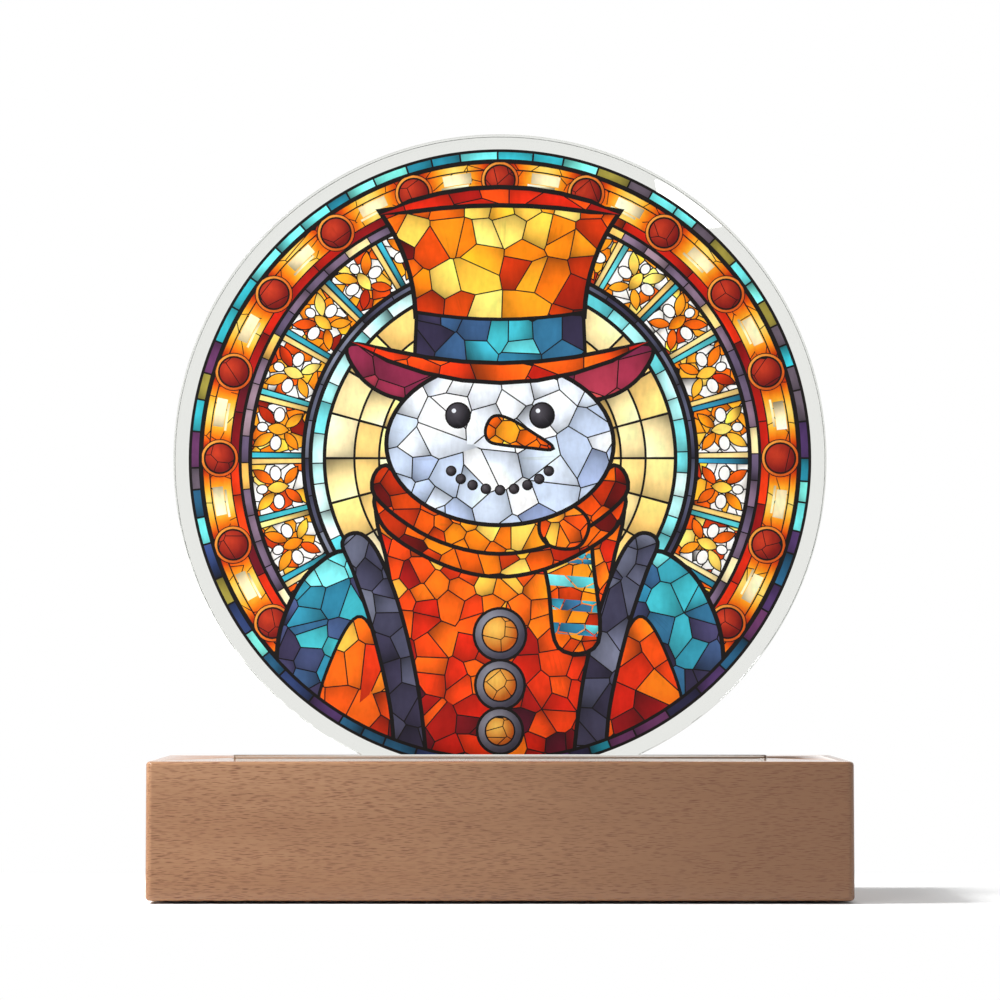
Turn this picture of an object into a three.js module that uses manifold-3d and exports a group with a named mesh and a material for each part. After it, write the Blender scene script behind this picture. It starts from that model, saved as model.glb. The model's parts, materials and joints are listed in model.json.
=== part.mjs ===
// A round printed acrylic plaque that stands by its foot in a lit wooden base.
// Millimetres. The origin is on the table, under the middle of the base.
// +X runs to the right, the front faces -Y and +Z is up.

import * as THREE from 'three';
import { mergeVertices } from 'three/addons/utils/BufferGeometryUtils.js';
import Module from 'manifold-3d';

// Wooden base block
const BASE_LENGTH = 150;
const BASE_DEPTH = 43;
const BASE_TOP = 30;
const BASE_EDGE_RADIUS = 0.8;
const BASE_END_RIM = 6;
const BASE_SIDE_RIM = 3;
const COVER_LEDGE = 9;
const POCKET_SIDE_WALL = 7.5;
const ROUTER_RADIUS = 4;

// Clear acrylic plaque and its foot. The disc's lowest point lies PLAQUE_SINK below the foot's top.
const PLAQUE_DIAMETER = 143;
const PLAQUE_THICKNESS = 6;
const PLAQUE_SINK = 6.8;
const PLAQUE_EDGE_POLISH = 0.3;
const FOOT_WIDTH = 116;
const FOOT_STAND = 0.8;
const SLOT_DEPTH = 12;
const SLOT_CLEARANCE = 0.3;

// Ink on the plaque's front face, inside a clear border
const PRINT_BORDER = 3.4;
const INK_THICKNESS = 0.1;
const PRINT_ABOVE_FOOT = 0.1;

// Light channel and the strip of lamps below the slot
const CHANNEL_DEPTH = 4.5;
const CHANNEL_SIDE_LEDGE = 0.9;
const BOARD_THICKNESS = 1.6;
const LED_BOARD_WIDTH = 9;
const LED_BOARD_END_GAP = 2;
const LED_BOARD_SCREW_MARGIN = 3;
const CHANNEL_END_MARGIN = 6.5;
const LED_COUNT = 8;
const LED_SIZE = [3.5, 2.8, 1.9];
const LED_END_MARGIN = 4;
const LED_WINDOW_RADIUS = 1.1;
const LED_WINDOW_DEPTH = 0.3;
const RESISTOR_SIZE = [2, 1.25, 0.6];
const RESISTOR_OFFSET = 20;

// Control board behind the lamps
const CONTROL_BOARD_LENGTH = 44;
const BOARD_GAP = 0.8;
const BOARD_SCREW_MARGIN = 2.5;
const CHIP_SIZE = [4, 4, 1.5];
const CHIP_EDGE_GAP = 1;

// Power inlet
const INLET_X = -7;
const INLET_WIDTH = 9;
const INLET_HEIGHT = 3.3;
const INLET_LENGTH = 7.35;
const INLET_WALL = 0.3;
const INLET_BACK_WALL = 0.6;
const TONGUE_WIDTH = 6.7;
const TONGUE_THICKNESS = 0.7;
const TONGUE_SET_BACK = 0.8;
const TONGUE_ROOT = [7.6, 1.2, 1.8];

// Push switch
const SWITCH_X = 7;
const SWITCH_SIZE = [6, 5, 3.6];
const SWITCH_BORE_RADIUS = 1.35;
const SWITCH_BORE_DEPTH = 4.4;
const BUTTON_RADIUS = 2.6;
const BUTTON_STAND = 1.4;
const BUTTON_TRAVEL = 1.2;
const BUTTON_EDGE = 0.3;
const BUTTON_FLANGE_RADIUS = 3.3;
const BUTTON_STEM_RADIUS = 1.1;
const SPRING_LENGTH = 2.3;
const SPRING_RADIUS = 0.75;
const SPRING_WIRE_RADIUS = 0.12;
const SPRING_TURNS = 3;

// Rear bezel, set into the back of the block
const BEZEL_LENGTH = 35;
const BEZEL_HEIGHT = 9;
const BEZEL_THICKNESS = 1.2;
const BEZEL_INSET = 1.5;
const BEZEL_WEB = 2.5;
const BEZEL_SCREW_X = 14;

// Bottom cover and the pads it stands on
const COVER_THICKNESS = 2.4;
const PAD_RADIUS = 4.5;
const PAD_THICKNESS = 1.6;
const PAD_STAND = 0.6;
const PAD_EDGE = 0.25;
const PAD_END_INSET = 4;
const PAD_Y = 12;
const COVER_SCREW_Y = 10;

// Screws: head radius, head height, shank radius and length below the head
const COVER_SCREW = { headRadius: 2.1, headHeight: 1.4, shankRadius: 1.2, length: 6.3 };
const BOARD_SCREW = { headRadius: 1.9, headHeight: 1.2, shankRadius: 1.0, length: 4.6 };
const BEZEL_SCREW = { headRadius: 1.5, headHeight: 0.6, shankRadius: 0.8, length: 2.3 };
const HEAD_SINK = 0.2;
const PILOT_CLEARANCE = 0.1;
const PILOT_END_GAP = 0.3;
const CLEARANCE = 0.3;

// A screw's rounded rim as a share of its head's height, and its point as a share of its shank's radius
const SCREW_RIM_SHARE = 0.25;
const SCREW_POINT_SHARE = 0.3;

// A screw's cross recess, as shares of its head's radius and height
const CROSS_REACH_SHARE = 0.6;
const CROSS_WIDTH_SHARE = 0.12;
const CROSS_DEPTH_SHARE = 0.5;

// Wires between the two boards
const WIRE_RADIUS = 0.55;
const WIRE_X = { wire_red: 13, wire_black: 15.2 };
const WIRE_DROP = 2.6;
const WIRE_PAD_INSET = 2;
const WIRE_END_GAP = 0.05;
const WIRE_SHOULDER_SHARE = 0.38;

// Facets around a small round and a screw, and half the facets of a corner and of the plaque
const ROUND_SEGMENTS = 20;
const SCREW_SEGMENTS = 12;
const CORNER_SEGMENTS = 3;
const PLAQUE_SEGMENTS = 60;

// Heights and depths worked out from the sizes above
const blockBottom = PAD_STAND;
const coverTop = blockBottom + COVER_THICKNESS;
const slotBottom = BASE_TOP - SLOT_DEPTH;
const pocketCeiling = slotBottom - CHANNEL_DEPTH;
const boardBottom = pocketCeiling - BOARD_THICKNESS;
const rearFace = BASE_DEPTH / 2;
const bezelFace = rearFace - BEZEL_INSET;
const bezelBack = bezelFace - BEZEL_THICKNESS;
const rearPocketWall = bezelBack - BEZEL_WEB;
const boardRear = rearPocketWall - CLEARANCE;
const boardFront = LED_BOARD_WIDTH / 2 + BOARD_GAP;
const pocketHalfDepth = rearFace - POCKET_SIDE_WALL;
const recessHalfLength = BASE_LENGTH / 2 - BASE_END_RIM;
const recessHalfDepth = rearFace - BASE_SIDE_RIM;
const pocketHalfLength = recessHalfLength - COVER_LEDGE;
const ledBoardHalfLength = pocketHalfLength - LED_BOARD_END_GAP;
const channelHalfLength = ledBoardHalfLength - CHANNEL_END_MARGIN;
const channelWidth = PLAQUE_THICKNESS - 2 * CHANNEL_SIDE_LEDGE;
const rearPocketHalfLength = CONTROL_BOARD_LENGTH / 2 + 1;
const footTop = BASE_TOP + FOOT_STAND;
const plaqueRadius = PLAQUE_DIAMETER / 2;
const plaqueCentreHeight = footTop - PLAQUE_SINK + plaqueRadius;
const plaqueFront = -PLAQUE_THICKNESS / 2;
const inletZ = boardBottom - INLET_HEIGHT / 2;
const switchZ = boardBottom - SWITCH_SIZE[2] / 2;
const flangeFront = bezelBack - CLEARANCE;
const flangeBack = boardRear + BUTTON_TRAVEL + CLEARANCE;
const stemEnd = boardRear - SWITCH_BORE_DEPTH + SPRING_LENGTH;
const coverScrewX = pocketHalfLength + COVER_LEDGE / 2;

const coverScrewSpots = cornersOf(coverScrewX, COVER_SCREW_Y);
const padSpots = cornersOf(pocketHalfLength - PAD_END_INSET, PAD_Y);
const ledScrewX = ledBoardHalfLength - LED_BOARD_SCREW_MARGIN;
const controlScrewX = CONTROL_BOARD_LENGTH / 2 - BOARD_SCREW_MARGIN;
const controlMiddle = (boardFront + boardRear) / 2;

const wasm = await Module();
wasm.setup();

function cornersOf(x, y) {
  return [[-x, -y], [x, -y], [x, y], [-x, y]];
}

// A closed geometry becomes a solid that can be cut and joined
function solidOf(geometry) {
  const bare = geometry.clone();
  bare.deleteAttribute('normal');
  bare.deleteAttribute('uv');
  const merged = mergeVertices(bare, 1e-4);
  return new wasm.Manifold(new wasm.Mesh({
    numProp: 3,
    vertProperties: new Float32Array(merged.attributes.position.array),
    triVerts: new Uint32Array(merged.index.array),
  }));
}

function geometryOf(solid) {
  const mesh = solid.getMesh();
  const geometry = new THREE.BufferGeometry();
  geometry.setAttribute('position', new THREE.BufferAttribute(mesh.vertProperties, 3));
  geometry.setIndex(new THREE.BufferAttribute(mesh.triVerts, 1));
  geometry.computeVertexNormals();
  return geometry;
}

function cut(body, tools) {
  return tools.reduce((rest, tool) => rest.subtract(tool), body);
}

// A box between two opposite corners
function box(low, high) {
  const geometry = new THREE.BoxGeometry(high[0] - low[0], high[1] - low[1], high[2] - low[2]);
  geometry.translate((low[0] + high[0]) / 2, (low[1] + high[1]) / 2, (low[2] + high[2]) / 2);
  return solidOf(geometry);
}

// A turned shape about +Z, from [radius, height] points that start and end on the axis
function turned(points, segments = ROUND_SEGMENTS) {
  const profile = points.map(([radius, height]) => new THREE.Vector2(radius, height));
  const geometry = new THREE.LatheGeometry(profile, segments);
  geometry.rotateX(Math.PI / 2);
  return geometry;
}

function uprightPin(radius, low, high, x, y) {
  const geometry = turned([[0, low], [radius, low], [radius, high], [0, high]]);
  geometry.translate(x, y, 0);
  return solidOf(geometry);
}

function pinAlongY(radius, low, high, x, z) {
  const geometry = turned([[0, low], [radius, low], [radius, high], [0, high]]);
  geometry.rotateX(-Math.PI / 2);
  geometry.translate(x, 0, z);
  return solidOf(geometry);
}

// A rectangle with round corners, centred on the origin
function roundedOutline(length, depth, radius) {
  const x = length / 2;
  const y = depth / 2;
  const shape = new THREE.Shape();
  shape.moveTo(-x + radius, -y);
  shape.lineTo(x - radius, -y);
  shape.absarc(x - radius, -y + radius, radius, -Math.PI / 2, 0, false);
  shape.lineTo(x, y - radius);
  shape.absarc(x - radius, y - radius, radius, 0, Math.PI / 2, false);
  shape.lineTo(-x + radius, y);
  shape.absarc(-x + radius, y - radius, radius, Math.PI / 2, Math.PI, false);
  shape.lineTo(-x, -y + radius);
  shape.absarc(-x + radius, -y + radius, radius, Math.PI, 1.5 * Math.PI, false);
  return shape;
}

// A plate of a rounded outline, between two heights
function roundedPlate(length, depth, radius, low, high) {
  const geometry = new THREE.ExtrudeGeometry(roundedOutline(length, depth, radius), {
    depth: high - low,
    bevelEnabled: false,
    curveSegments: CORNER_SEGMENTS,
  });
  geometry.translate(0, 0, low);
  return solidOf(geometry);
}

// A bar with half-round ends that runs along Y, centred at x and z
function slotBar(width, height, low, high, x, z) {
  const outline = roundedOutline(width, height, height / 2 - 0.01);
  const geometry = new THREE.ExtrudeGeometry(outline, {
    depth: high - low,
    bevelEnabled: false,
    curveSegments: CORNER_SEGMENTS,
  });
  geometry.rotateX(Math.PI / 2);
  geometry.translate(x, high, z);
  return solidOf(geometry);
}

// A cross-head screw about +Z: its head's outer face lies at 0 and its shank points up
function screwGeometry(size) {
  const { headRadius, headHeight, shankRadius, length } = size;
  const tip = headHeight + length;
  const rim = headHeight * SCREW_RIM_SHARE;
  const body = solidOf(turned([
    [0, 0],
    [headRadius - rim, 0],
    [headRadius, rim],
    [headRadius, headHeight],
    [shankRadius, headHeight],
    [shankRadius, tip - shankRadius],
    [shankRadius * SCREW_POINT_SHARE, tip],
    [0, tip],
  ], SCREW_SEGMENTS));
  const arm = headRadius * CROSS_REACH_SHARE;
  const half = headRadius * CROSS_WIDTH_SHARE;
  const sink = headHeight * CROSS_DEPTH_SHARE;
  return geometryOf(cut(body, [
    box([-arm, -half, -1], [arm, half, sink]),
    box([-half, -arm, -1], [half, arm, sink]),
  ]));
}

const looks = {
  wood: { color: 0xa97f60, roughness: 0.6, metalness: 0 },
  acrylic: { color: 0xe6ebe8, roughness: 0.08, metalness: 0, transparent: true, opacity: 0.4 },
  whiteInk: { color: 0xf4f3ef, roughness: 0.5, metalness: 0 },
  colourInk: { color: 0xd0662a, roughness: 0.35, metalness: 0 },
  blackPlastic: { color: 0x1b1b1d, roughness: 0.5, metalness: 0 },
  greyPlastic: { color: 0x3a3b3d, roughness: 0.45, metalness: 0 },
  board: { color: 0xe9e8e0, roughness: 0.45, metalness: 0 },
  lamp: { color: 0xf6e9b8, roughness: 0.35, metalness: 0 },
  steel: { color: 0xb9bbbd, roughness: 0.3, metalness: 1 },
  rubber: { color: 0x2b2b2b, roughness: 0.85, metalness: 0 },
  red: { color: 0xb3201c, roughness: 0.5, metalness: 0 },
};

function piece(name, geometry, look) {
  const mesh = new THREE.Mesh(geometry, new THREE.MeshStandardMaterial(looks[look]));
  mesh.name = name;
  return mesh;
}

// The wooden block: slot above, light channel, pocket and cover recess below
function baseBlock() {
  const edge = BASE_EDGE_RADIUS;
  const outline = roundedOutline(BASE_LENGTH - 2 * edge, BASE_DEPTH - 2 * edge, edge);
  const height = BASE_TOP - blockBottom;
  const geometry = new THREE.ExtrudeGeometry(outline, {
    depth: height - 2 * edge,
    bevelThickness: edge,
    bevelSize: edge,
    bevelSegments: 3,
    curveSegments: CORNER_SEGMENTS - 1,
  });
  geometry.translate(0, 0, blockBottom + edge);
  const slotHalfLength = FOOT_WIDTH / 2 + SLOT_CLEARANCE;
  const slotHalfWidth = PLAQUE_THICKNESS / 2 + SLOT_CLEARANCE;
  const above = BASE_TOP + 1;
  const below = blockBottom - 1;
  const recessLength = 2 * recessHalfLength;
  const pilotRadius = BOARD_SCREW.shankRadius + PILOT_CLEARANCE;
  const pilotTop = boardBottom + BOARD_SCREW.length + PILOT_END_GAP;
  const coverPilotTop = coverScrewHead() + COVER_SCREW.headHeight + COVER_SCREW.length + PILOT_END_GAP;
  const recessFloor = bezelBack;
  const inletGap = 4 * CLEARANCE;
  const bezelPilotEnd = bezelFace - HEAD_SINK - BEZEL_SCREW.headHeight - BEZEL_SCREW.length - PILOT_END_GAP;
  const tools = [
    box([-slotHalfLength, -slotHalfWidth, slotBottom], [slotHalfLength, slotHalfWidth, above]),
    box(
      [-channelHalfLength, -channelWidth / 2, pocketCeiling - 1],
      [channelHalfLength, channelWidth / 2, slotBottom + 1],
    ),
    box(
      [-pocketHalfLength, -pocketHalfDepth, coverTop - 1],
      [pocketHalfLength, pocketHalfDepth, pocketCeiling],
    ),
    box([-rearPocketHalfLength, 0, coverTop - 1], [rearPocketHalfLength, rearPocketWall, pocketCeiling]),
    roundedPlate(recessLength, 2 * recessHalfDepth, ROUTER_RADIUS, below, coverTop),
    slotBar(
      BEZEL_LENGTH + 2 * CLEARANCE, BEZEL_HEIGHT + 2 * CLEARANCE, recessFloor, rearFace + 1, 0, inletZ,
    ),
    slotBar(
      INLET_WIDTH + inletGap, INLET_HEIGHT + inletGap, rearPocketWall - 1, recessFloor + 1, INLET_X, inletZ,
    ),
    pinAlongY(BUTTON_FLANGE_RADIUS + CLEARANCE, rearPocketWall - 1, recessFloor + 1, SWITCH_X, switchZ),
  ];
  for (const [x, y] of coverScrewSpots) {
    tools.push(uprightPin(COVER_SCREW.shankRadius + PILOT_CLEARANCE, coverTop - 1, coverPilotTop, x, y));
  }
  for (const side of [-1, 1]) {
    tools.push(uprightPin(pilotRadius, pocketCeiling - 1, pilotTop, side * ledScrewX, 0));
    tools.push(uprightPin(pilotRadius, pocketCeiling - 1, pilotTop, side * controlScrewX, controlMiddle));
    tools.push(pinAlongY(
      BEZEL_SCREW.shankRadius + PILOT_CLEARANCE, bezelPilotEnd, recessFloor + 1, side * BEZEL_SCREW_X, inletZ,
    ));
  }
  return piece('base_block', geometryOf(cut(solidOf(geometry), tools)), 'wood');
}

function coverScrewHead() {
  return blockBottom + HEAD_SINK;
}

// The plate that closes the underside, with seats for its screws and pads
function bottomCover() {
  const length = 2 * (recessHalfLength - CLEARANCE);
  const depth = 2 * (recessHalfDepth - CLEARANCE);
  const plate = roundedPlate(length, depth, ROUTER_RADIUS - CLEARANCE, blockBottom, coverTop);
  const seatTop = coverScrewHead() + COVER_SCREW.headHeight;
  const below = blockBottom - 1;
  const tools = [];
  for (const [x, y] of coverScrewSpots) {
    tools.push(uprightPin(COVER_SCREW.headRadius + CLEARANCE, below, seatTop, x, y));
    tools.push(uprightPin(COVER_SCREW.shankRadius + 2 * PILOT_CLEARANCE, below, coverTop + 1, x, y));
  }
  for (const [x, y] of padSpots) {
    tools.push(uprightPin(PAD_RADIUS + CLEARANCE, below, PAD_THICKNESS, x, y));
  }
  return piece('bottom_cover', geometryOf(cut(plate, tools)), 'blackPlastic');
}

function coverScrews() {
  return coverScrewSpots.map(([x, y], index) => {
    const screw = piece(`cover_screw_${index + 1}`, screwGeometry(COVER_SCREW), 'steel');
    screw.position.set(x, y, coverScrewHead());
    return screw;
  });
}

function footPads() {
  return padSpots.map(([x, y], index) => {
    const pad = piece(`foot_pad_${index + 1}`, turned([
      [0, 0],
      [PAD_RADIUS - PAD_EDGE, 0],
      [PAD_RADIUS, PAD_EDGE],
      [PAD_RADIUS, PAD_THICKNESS],
      [0, PAD_THICKNESS],
    ]), 'rubber');
    pad.position.set(x, y, 0);
    return pad;
  });
}

// The long board under the light channel, screwed to the pocket's ceiling
function ledBoard() {
  const half = ledBoardHalfLength;
  const board = box([-half, -LED_BOARD_WIDTH / 2, boardBottom], [half, LED_BOARD_WIDTH / 2, pocketCeiling]);
  const holes = [-1, 1].map((side) => uprightPin(
    BOARD_SCREW.shankRadius + 2 * PILOT_CLEARANCE, boardBottom - 1, pocketCeiling + 1, side * ledScrewX, 0,
  ));
  return piece('led_board', geometryOf(cut(board, holes)), 'board');
}

function leds() {
  const [length, width, height] = LED_SIZE;
  const first = -(channelHalfLength - LED_END_MARGIN);
  const pitch = (-2 * first) / (LED_COUNT - 1);
  const top = pocketCeiling + height;
  return Array.from({ length: LED_COUNT }, (_, index) => {
    const body = box([-length / 2, -width / 2, pocketCeiling], [length / 2, width / 2, top]);
    const window = uprightPin(LED_WINDOW_RADIUS, top - LED_WINDOW_DEPTH, top + 1, 0, 0);
    const lamp = piece(`led_${index + 1}`, geometryOf(body.subtract(window)), 'lamp');
    lamp.position.x = first + pitch * index;
    return lamp;
  });
}

function ledResistors() {
  const [length, width, height] = RESISTOR_SIZE;
  return [-1, 1].map((side, index) => {
    const x = side * RESISTOR_OFFSET;
    const low = [x - length / 2, -width / 2, boardBottom - height];
    const high = [x + length / 2, width / 2, boardBottom];
    return piece(`led_resistor_${index + 1}`, geometryOf(box(low, high)), 'blackPlastic');
  });
}

function boardScrews(stem, spots) {
  return spots.map(([x, y], index) => {
    const screw = piece(`${stem}_${index + 1}`, screwGeometry(BOARD_SCREW), 'steel');
    screw.position.set(x, y, boardBottom - BOARD_SCREW.headHeight);
    return screw;
  });
}

// The short board that carries the inlet and the switch, behind the lamps
function controlBoard() {
  const half = CONTROL_BOARD_LENGTH / 2;
  const board = box([-half, boardFront, boardBottom], [half, boardRear, pocketCeiling]);
  const holes = [-1, 1].map((side) => uprightPin(
    BOARD_SCREW.shankRadius + 2 * PILOT_CLEARANCE,
    boardBottom - 1,
    pocketCeiling + 1,
    side * controlScrewX,
    controlMiddle,
  ));
  return piece('control_board', geometryOf(cut(board, holes)), 'board');
}

function controlChip() {
  const [length, width, height] = CHIP_SIZE;
  const x = (INLET_X + INLET_WIDTH / 2 + SWITCH_X - SWITCH_SIZE[0] / 2) / 2;
  const front = boardFront + CHIP_EDGE_GAP;
  const low = [x - length / 2, front, boardBottom - height];
  const high = [x + length / 2, front + width, boardBottom];
  return piece('control_chip', geometryOf(box(low, high)), 'blackPlastic');
}

// A steel shell, open to the rear, with a contact tongue inside it
function powerInlet() {
  const back = bezelFace - INLET_LENGTH;
  const inside = back + INLET_BACK_WALL;
  const outer = slotBar(INLET_WIDTH, INLET_HEIGHT, back, bezelFace, INLET_X, inletZ);
  const hollow = slotBar(
    INLET_WIDTH - 2 * INLET_WALL, INLET_HEIGHT - 2 * INLET_WALL, inside, bezelFace + 1, INLET_X, inletZ,
  );
  const [rootWidth, rootLength, rootHeight] = TONGUE_ROOT;
  const root = box(
    [INLET_X - rootWidth / 2, inside, inletZ - rootHeight / 2],
    [INLET_X + rootWidth / 2, inside + rootLength, inletZ + rootHeight / 2],
  );
  const blade = box(
    [INLET_X - TONGUE_WIDTH / 2, inside + rootLength / 2, inletZ - TONGUE_THICKNESS / 2],
    [INLET_X + TONGUE_WIDTH / 2, bezelFace - TONGUE_SET_BACK, inletZ + TONGUE_THICKNESS / 2],
  );
  return [
    piece('inlet_shell', geometryOf(outer.subtract(hollow)), 'steel'),
    piece('inlet_tongue', geometryOf(root.add(blade)), 'blackPlastic'),
  ];
}

function switchBody() {
  const [width, depth, height] = SWITCH_SIZE;
  const body = box(
    [SWITCH_X - width / 2, boardRear - depth, boardBottom - height],
    [SWITCH_X + width / 2, boardRear, boardBottom],
  );
  const bore = pinAlongY(
    SWITCH_BORE_RADIUS, boardRear - SWITCH_BORE_DEPTH, boardRear + 1, SWITCH_X, switchZ,
  );
  return piece('switch_body', geometryOf(body.subtract(bore)), 'greyPlastic');
}

// The button: a stem into the switch, a flange behind the bezel and a cap through it
function switchButton() {
  const tip = bezelFace + BUTTON_STAND;
  const geometry = turned([
    [0, stemEnd],
    [BUTTON_STEM_RADIUS, stemEnd],
    [BUTTON_STEM_RADIUS, flangeBack],
    [BUTTON_FLANGE_RADIUS, flangeBack],
    [BUTTON_FLANGE_RADIUS, flangeFront],
    [BUTTON_RADIUS, flangeFront],
    [BUTTON_RADIUS, tip - BUTTON_EDGE],
    [BUTTON_RADIUS - BUTTON_EDGE, tip],
    [0, tip],
  ]);
  geometry.rotateX(-Math.PI / 2);
  geometry.translate(SWITCH_X, 0, switchZ);
  return piece('switch_button', geometry, 'greyPlastic');
}

class Helix extends THREE.Curve {
  constructor(radius, turns, low, high) {
    super();
    Object.assign(this, { radius, turns, low, high });
  }

  getPoint(t, target = new THREE.Vector3()) {
    const angle = 2 * Math.PI * this.turns * t;
    const y = this.low + (this.high - this.low) * t;
    return target.set(this.radius * Math.cos(angle), y, this.radius * Math.sin(angle));
  }
}

function wireOutline(radius, sides) {
  const points = Array.from({ length: sides }, (_, index) => {
    const angle = (2 * Math.PI * index) / sides;
    return new THREE.Vector2(radius * Math.cos(angle), radius * Math.sin(angle));
  });
  return new THREE.Shape(points);
}

function switchSpring() {
  const low = boardRear - SWITCH_BORE_DEPTH + 2 * SPRING_WIRE_RADIUS;
  const high = stemEnd - 2 * SPRING_WIRE_RADIUS;
  const geometry = new THREE.ExtrudeGeometry(wireOutline(SPRING_WIRE_RADIUS, 5), {
    extrudePath: new Helix(SPRING_RADIUS, SPRING_TURNS, low, high),
    steps: 8 * SPRING_TURNS,
    bevelEnabled: false,
  });
  const spring = piece('switch_spring', geometry, 'steel');
  spring.position.set(SWITCH_X, 0, switchZ);
  return spring;
}

// The plate around the inlet and the button, set into the back of the block
function rearBezel() {
  const plate = slotBar(BEZEL_LENGTH, BEZEL_HEIGHT, bezelBack, bezelFace, 0, inletZ);
  const gap = 2 * CLEARANCE;
  const tools = [
    slotBar(INLET_WIDTH + gap, INLET_HEIGHT + gap, bezelBack - 1, bezelFace + 1, INLET_X, inletZ),
    pinAlongY(BUTTON_RADIUS + CLEARANCE, bezelBack - 1, bezelFace + 1, SWITCH_X, switchZ),
  ];
  for (const side of [-1, 1]) {
    const x = side * BEZEL_SCREW_X;
    const seat = bezelFace - HEAD_SINK - BEZEL_SCREW.headHeight;
    tools.push(pinAlongY(BEZEL_SCREW.headRadius + CLEARANCE, seat, bezelFace + 1, x, inletZ));
    tools.push(pinAlongY(BEZEL_SCREW.shankRadius + 2 * PILOT_CLEARANCE, bezelBack - 1, seat + 1, x, inletZ));
  }
  return piece('rear_bezel', geometryOf(cut(plate, tools)), 'blackPlastic');
}

function bezelScrews() {
  return [-1, 1].map((side, index) => {
    const screw = piece(`bezel_screw_${index + 1}`, screwGeometry(BEZEL_SCREW), 'steel');
    screw.rotation.x = Math.PI / 2;
    screw.position.set(side * BEZEL_SCREW_X, bezelFace - HEAD_SINK, inletZ);
    return screw;
  });
}

// Each wire leaves one board, hangs in a short loop and ends on the other board
function boardWire(name, look) {
  const x = WIRE_X[name];
  const top = boardBottom - WIRE_END_GAP;
  const rear = boardFront + WIRE_PAD_INSET;
  const front = LED_BOARD_WIDTH / 2 - WIRE_PAD_INSET;
  const middle = (rear + front) / 2;
  const shoulder = (rear - front) * WIRE_SHOULDER_SHARE;
  const path = new THREE.CatmullRomCurve3([
    new THREE.Vector3(x, rear, top),
    new THREE.Vector3(x, rear, top - WIRE_DROP * 0.4),
    new THREE.Vector3(x, middle + shoulder, top - WIRE_DROP * 0.8),
    new THREE.Vector3(x, middle, top - WIRE_DROP),
    new THREE.Vector3(x, middle - shoulder, top - WIRE_DROP * 0.8),
    new THREE.Vector3(x, front, top - WIRE_DROP * 0.4),
    new THREE.Vector3(x, front, top),
  ], false, 'centripetal');
  const geometry = new THREE.ExtrudeGeometry(wireOutline(WIRE_RADIUS, 6), {
    extrudePath: path,
    steps: 18,
    bevelEnabled: false,
  });
  return piece(name, geometry, look);
}

// Turns an outline drawn in X and Z into a sheet between two depths, front first
function standingSheet(shape, front, back, bevel = 0) {
  const geometry = new THREE.ExtrudeGeometry(shape, {
    depth: back - front - 2 * bevel,
    bevelEnabled: bevel > 0,
    bevelThickness: bevel,
    bevelSize: bevel,
    bevelOffset: -bevel,
    bevelSegments: 1,
    curveSegments: PLAQUE_SEGMENTS,
  });
  geometry.rotateX(Math.PI / 2);
  geometry.translate(0, back - bevel, 0);
  return geometry;
}

// The angle below the horizontal at which a circle meets a height
function chordAngle(radius, height) {
  return Math.asin((height - plaqueCentreHeight) / radius);
}

function acrylicPlaque() {
  const radius = plaqueRadius;
  const angle = chordAngle(radius, footTop);
  const shape = new THREE.Shape();
  shape.moveTo(-FOOT_WIDTH / 2, slotBottom);
  shape.lineTo(FOOT_WIDTH / 2, slotBottom);
  shape.lineTo(FOOT_WIDTH / 2, footTop);
  shape.lineTo(radius * Math.cos(angle), footTop);
  shape.absarc(0, plaqueCentreHeight, radius, angle, Math.PI - angle, false);
  shape.lineTo(-FOOT_WIDTH / 2, footTop);
  const half = PLAQUE_THICKNESS / 2;
  return piece('acrylic_plaque', standingSheet(shape, -half, half, PLAQUE_EDGE_POLISH), 'acrylic');
}

function inkLayer(name, look, front) {
  const radius = plaqueRadius - PRINT_BORDER;
  const cutHeight = footTop + PRINT_ABOVE_FOOT;
  const angle = chordAngle(radius, cutHeight);
  const shape = new THREE.Shape();
  shape.moveTo(-radius * Math.cos(angle), cutHeight);
  shape.lineTo(radius * Math.cos(angle), cutHeight);
  shape.absarc(0, plaqueCentreHeight, radius, angle, Math.PI - angle, false);
  return piece(name, standingSheet(shape, front, front + INK_THICKNESS), look);
}

const base = new THREE.Group();
base.add(baseBlock());
base.add(bottomCover());
base.add(...coverScrews());
base.add(...footPads());
base.add(rearBezel());
base.add(...bezelScrews());

const electronics = new THREE.Group();
electronics.add(ledBoard());
electronics.add(...leds());
electronics.add(...ledResistors());
electronics.add(...boardScrews('led_board_screw', [[-ledScrewX, 0], [ledScrewX, 0]]));
electronics.add(controlBoard());
electronics.add(controlChip());
electronics.add(...boardScrews('control_board_screw', [
  [-controlScrewX, controlMiddle],
  [controlScrewX, controlMiddle],
]));
electronics.add(...powerInlet());
electronics.add(switchBody());
electronics.add(switchButton());
electronics.add(switchSpring());
electronics.add(boardWire('wire_red', 'red'));
electronics.add(boardWire('wire_black', 'blackPlastic'));

const plaque = new THREE.Group();
plaque.add(acrylicPlaque());
plaque.add(inkLayer('white_ink_layer', 'whiteInk', plaqueFront - INK_THICKNESS));
plaque.add(inkLayer('colour_ink_layer', 'colourInk', plaqueFront - 2 * INK_THICKNESS));

const lampPlaque = new THREE.Group();
lampPlaque.add(base, electronics, plaque);

export default lampPlaque;
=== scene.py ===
import json
import math

import bmesh
import bpy
import numpy as np
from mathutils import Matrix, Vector
from mathutils.geometry import delaunay_2d_cdt


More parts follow.
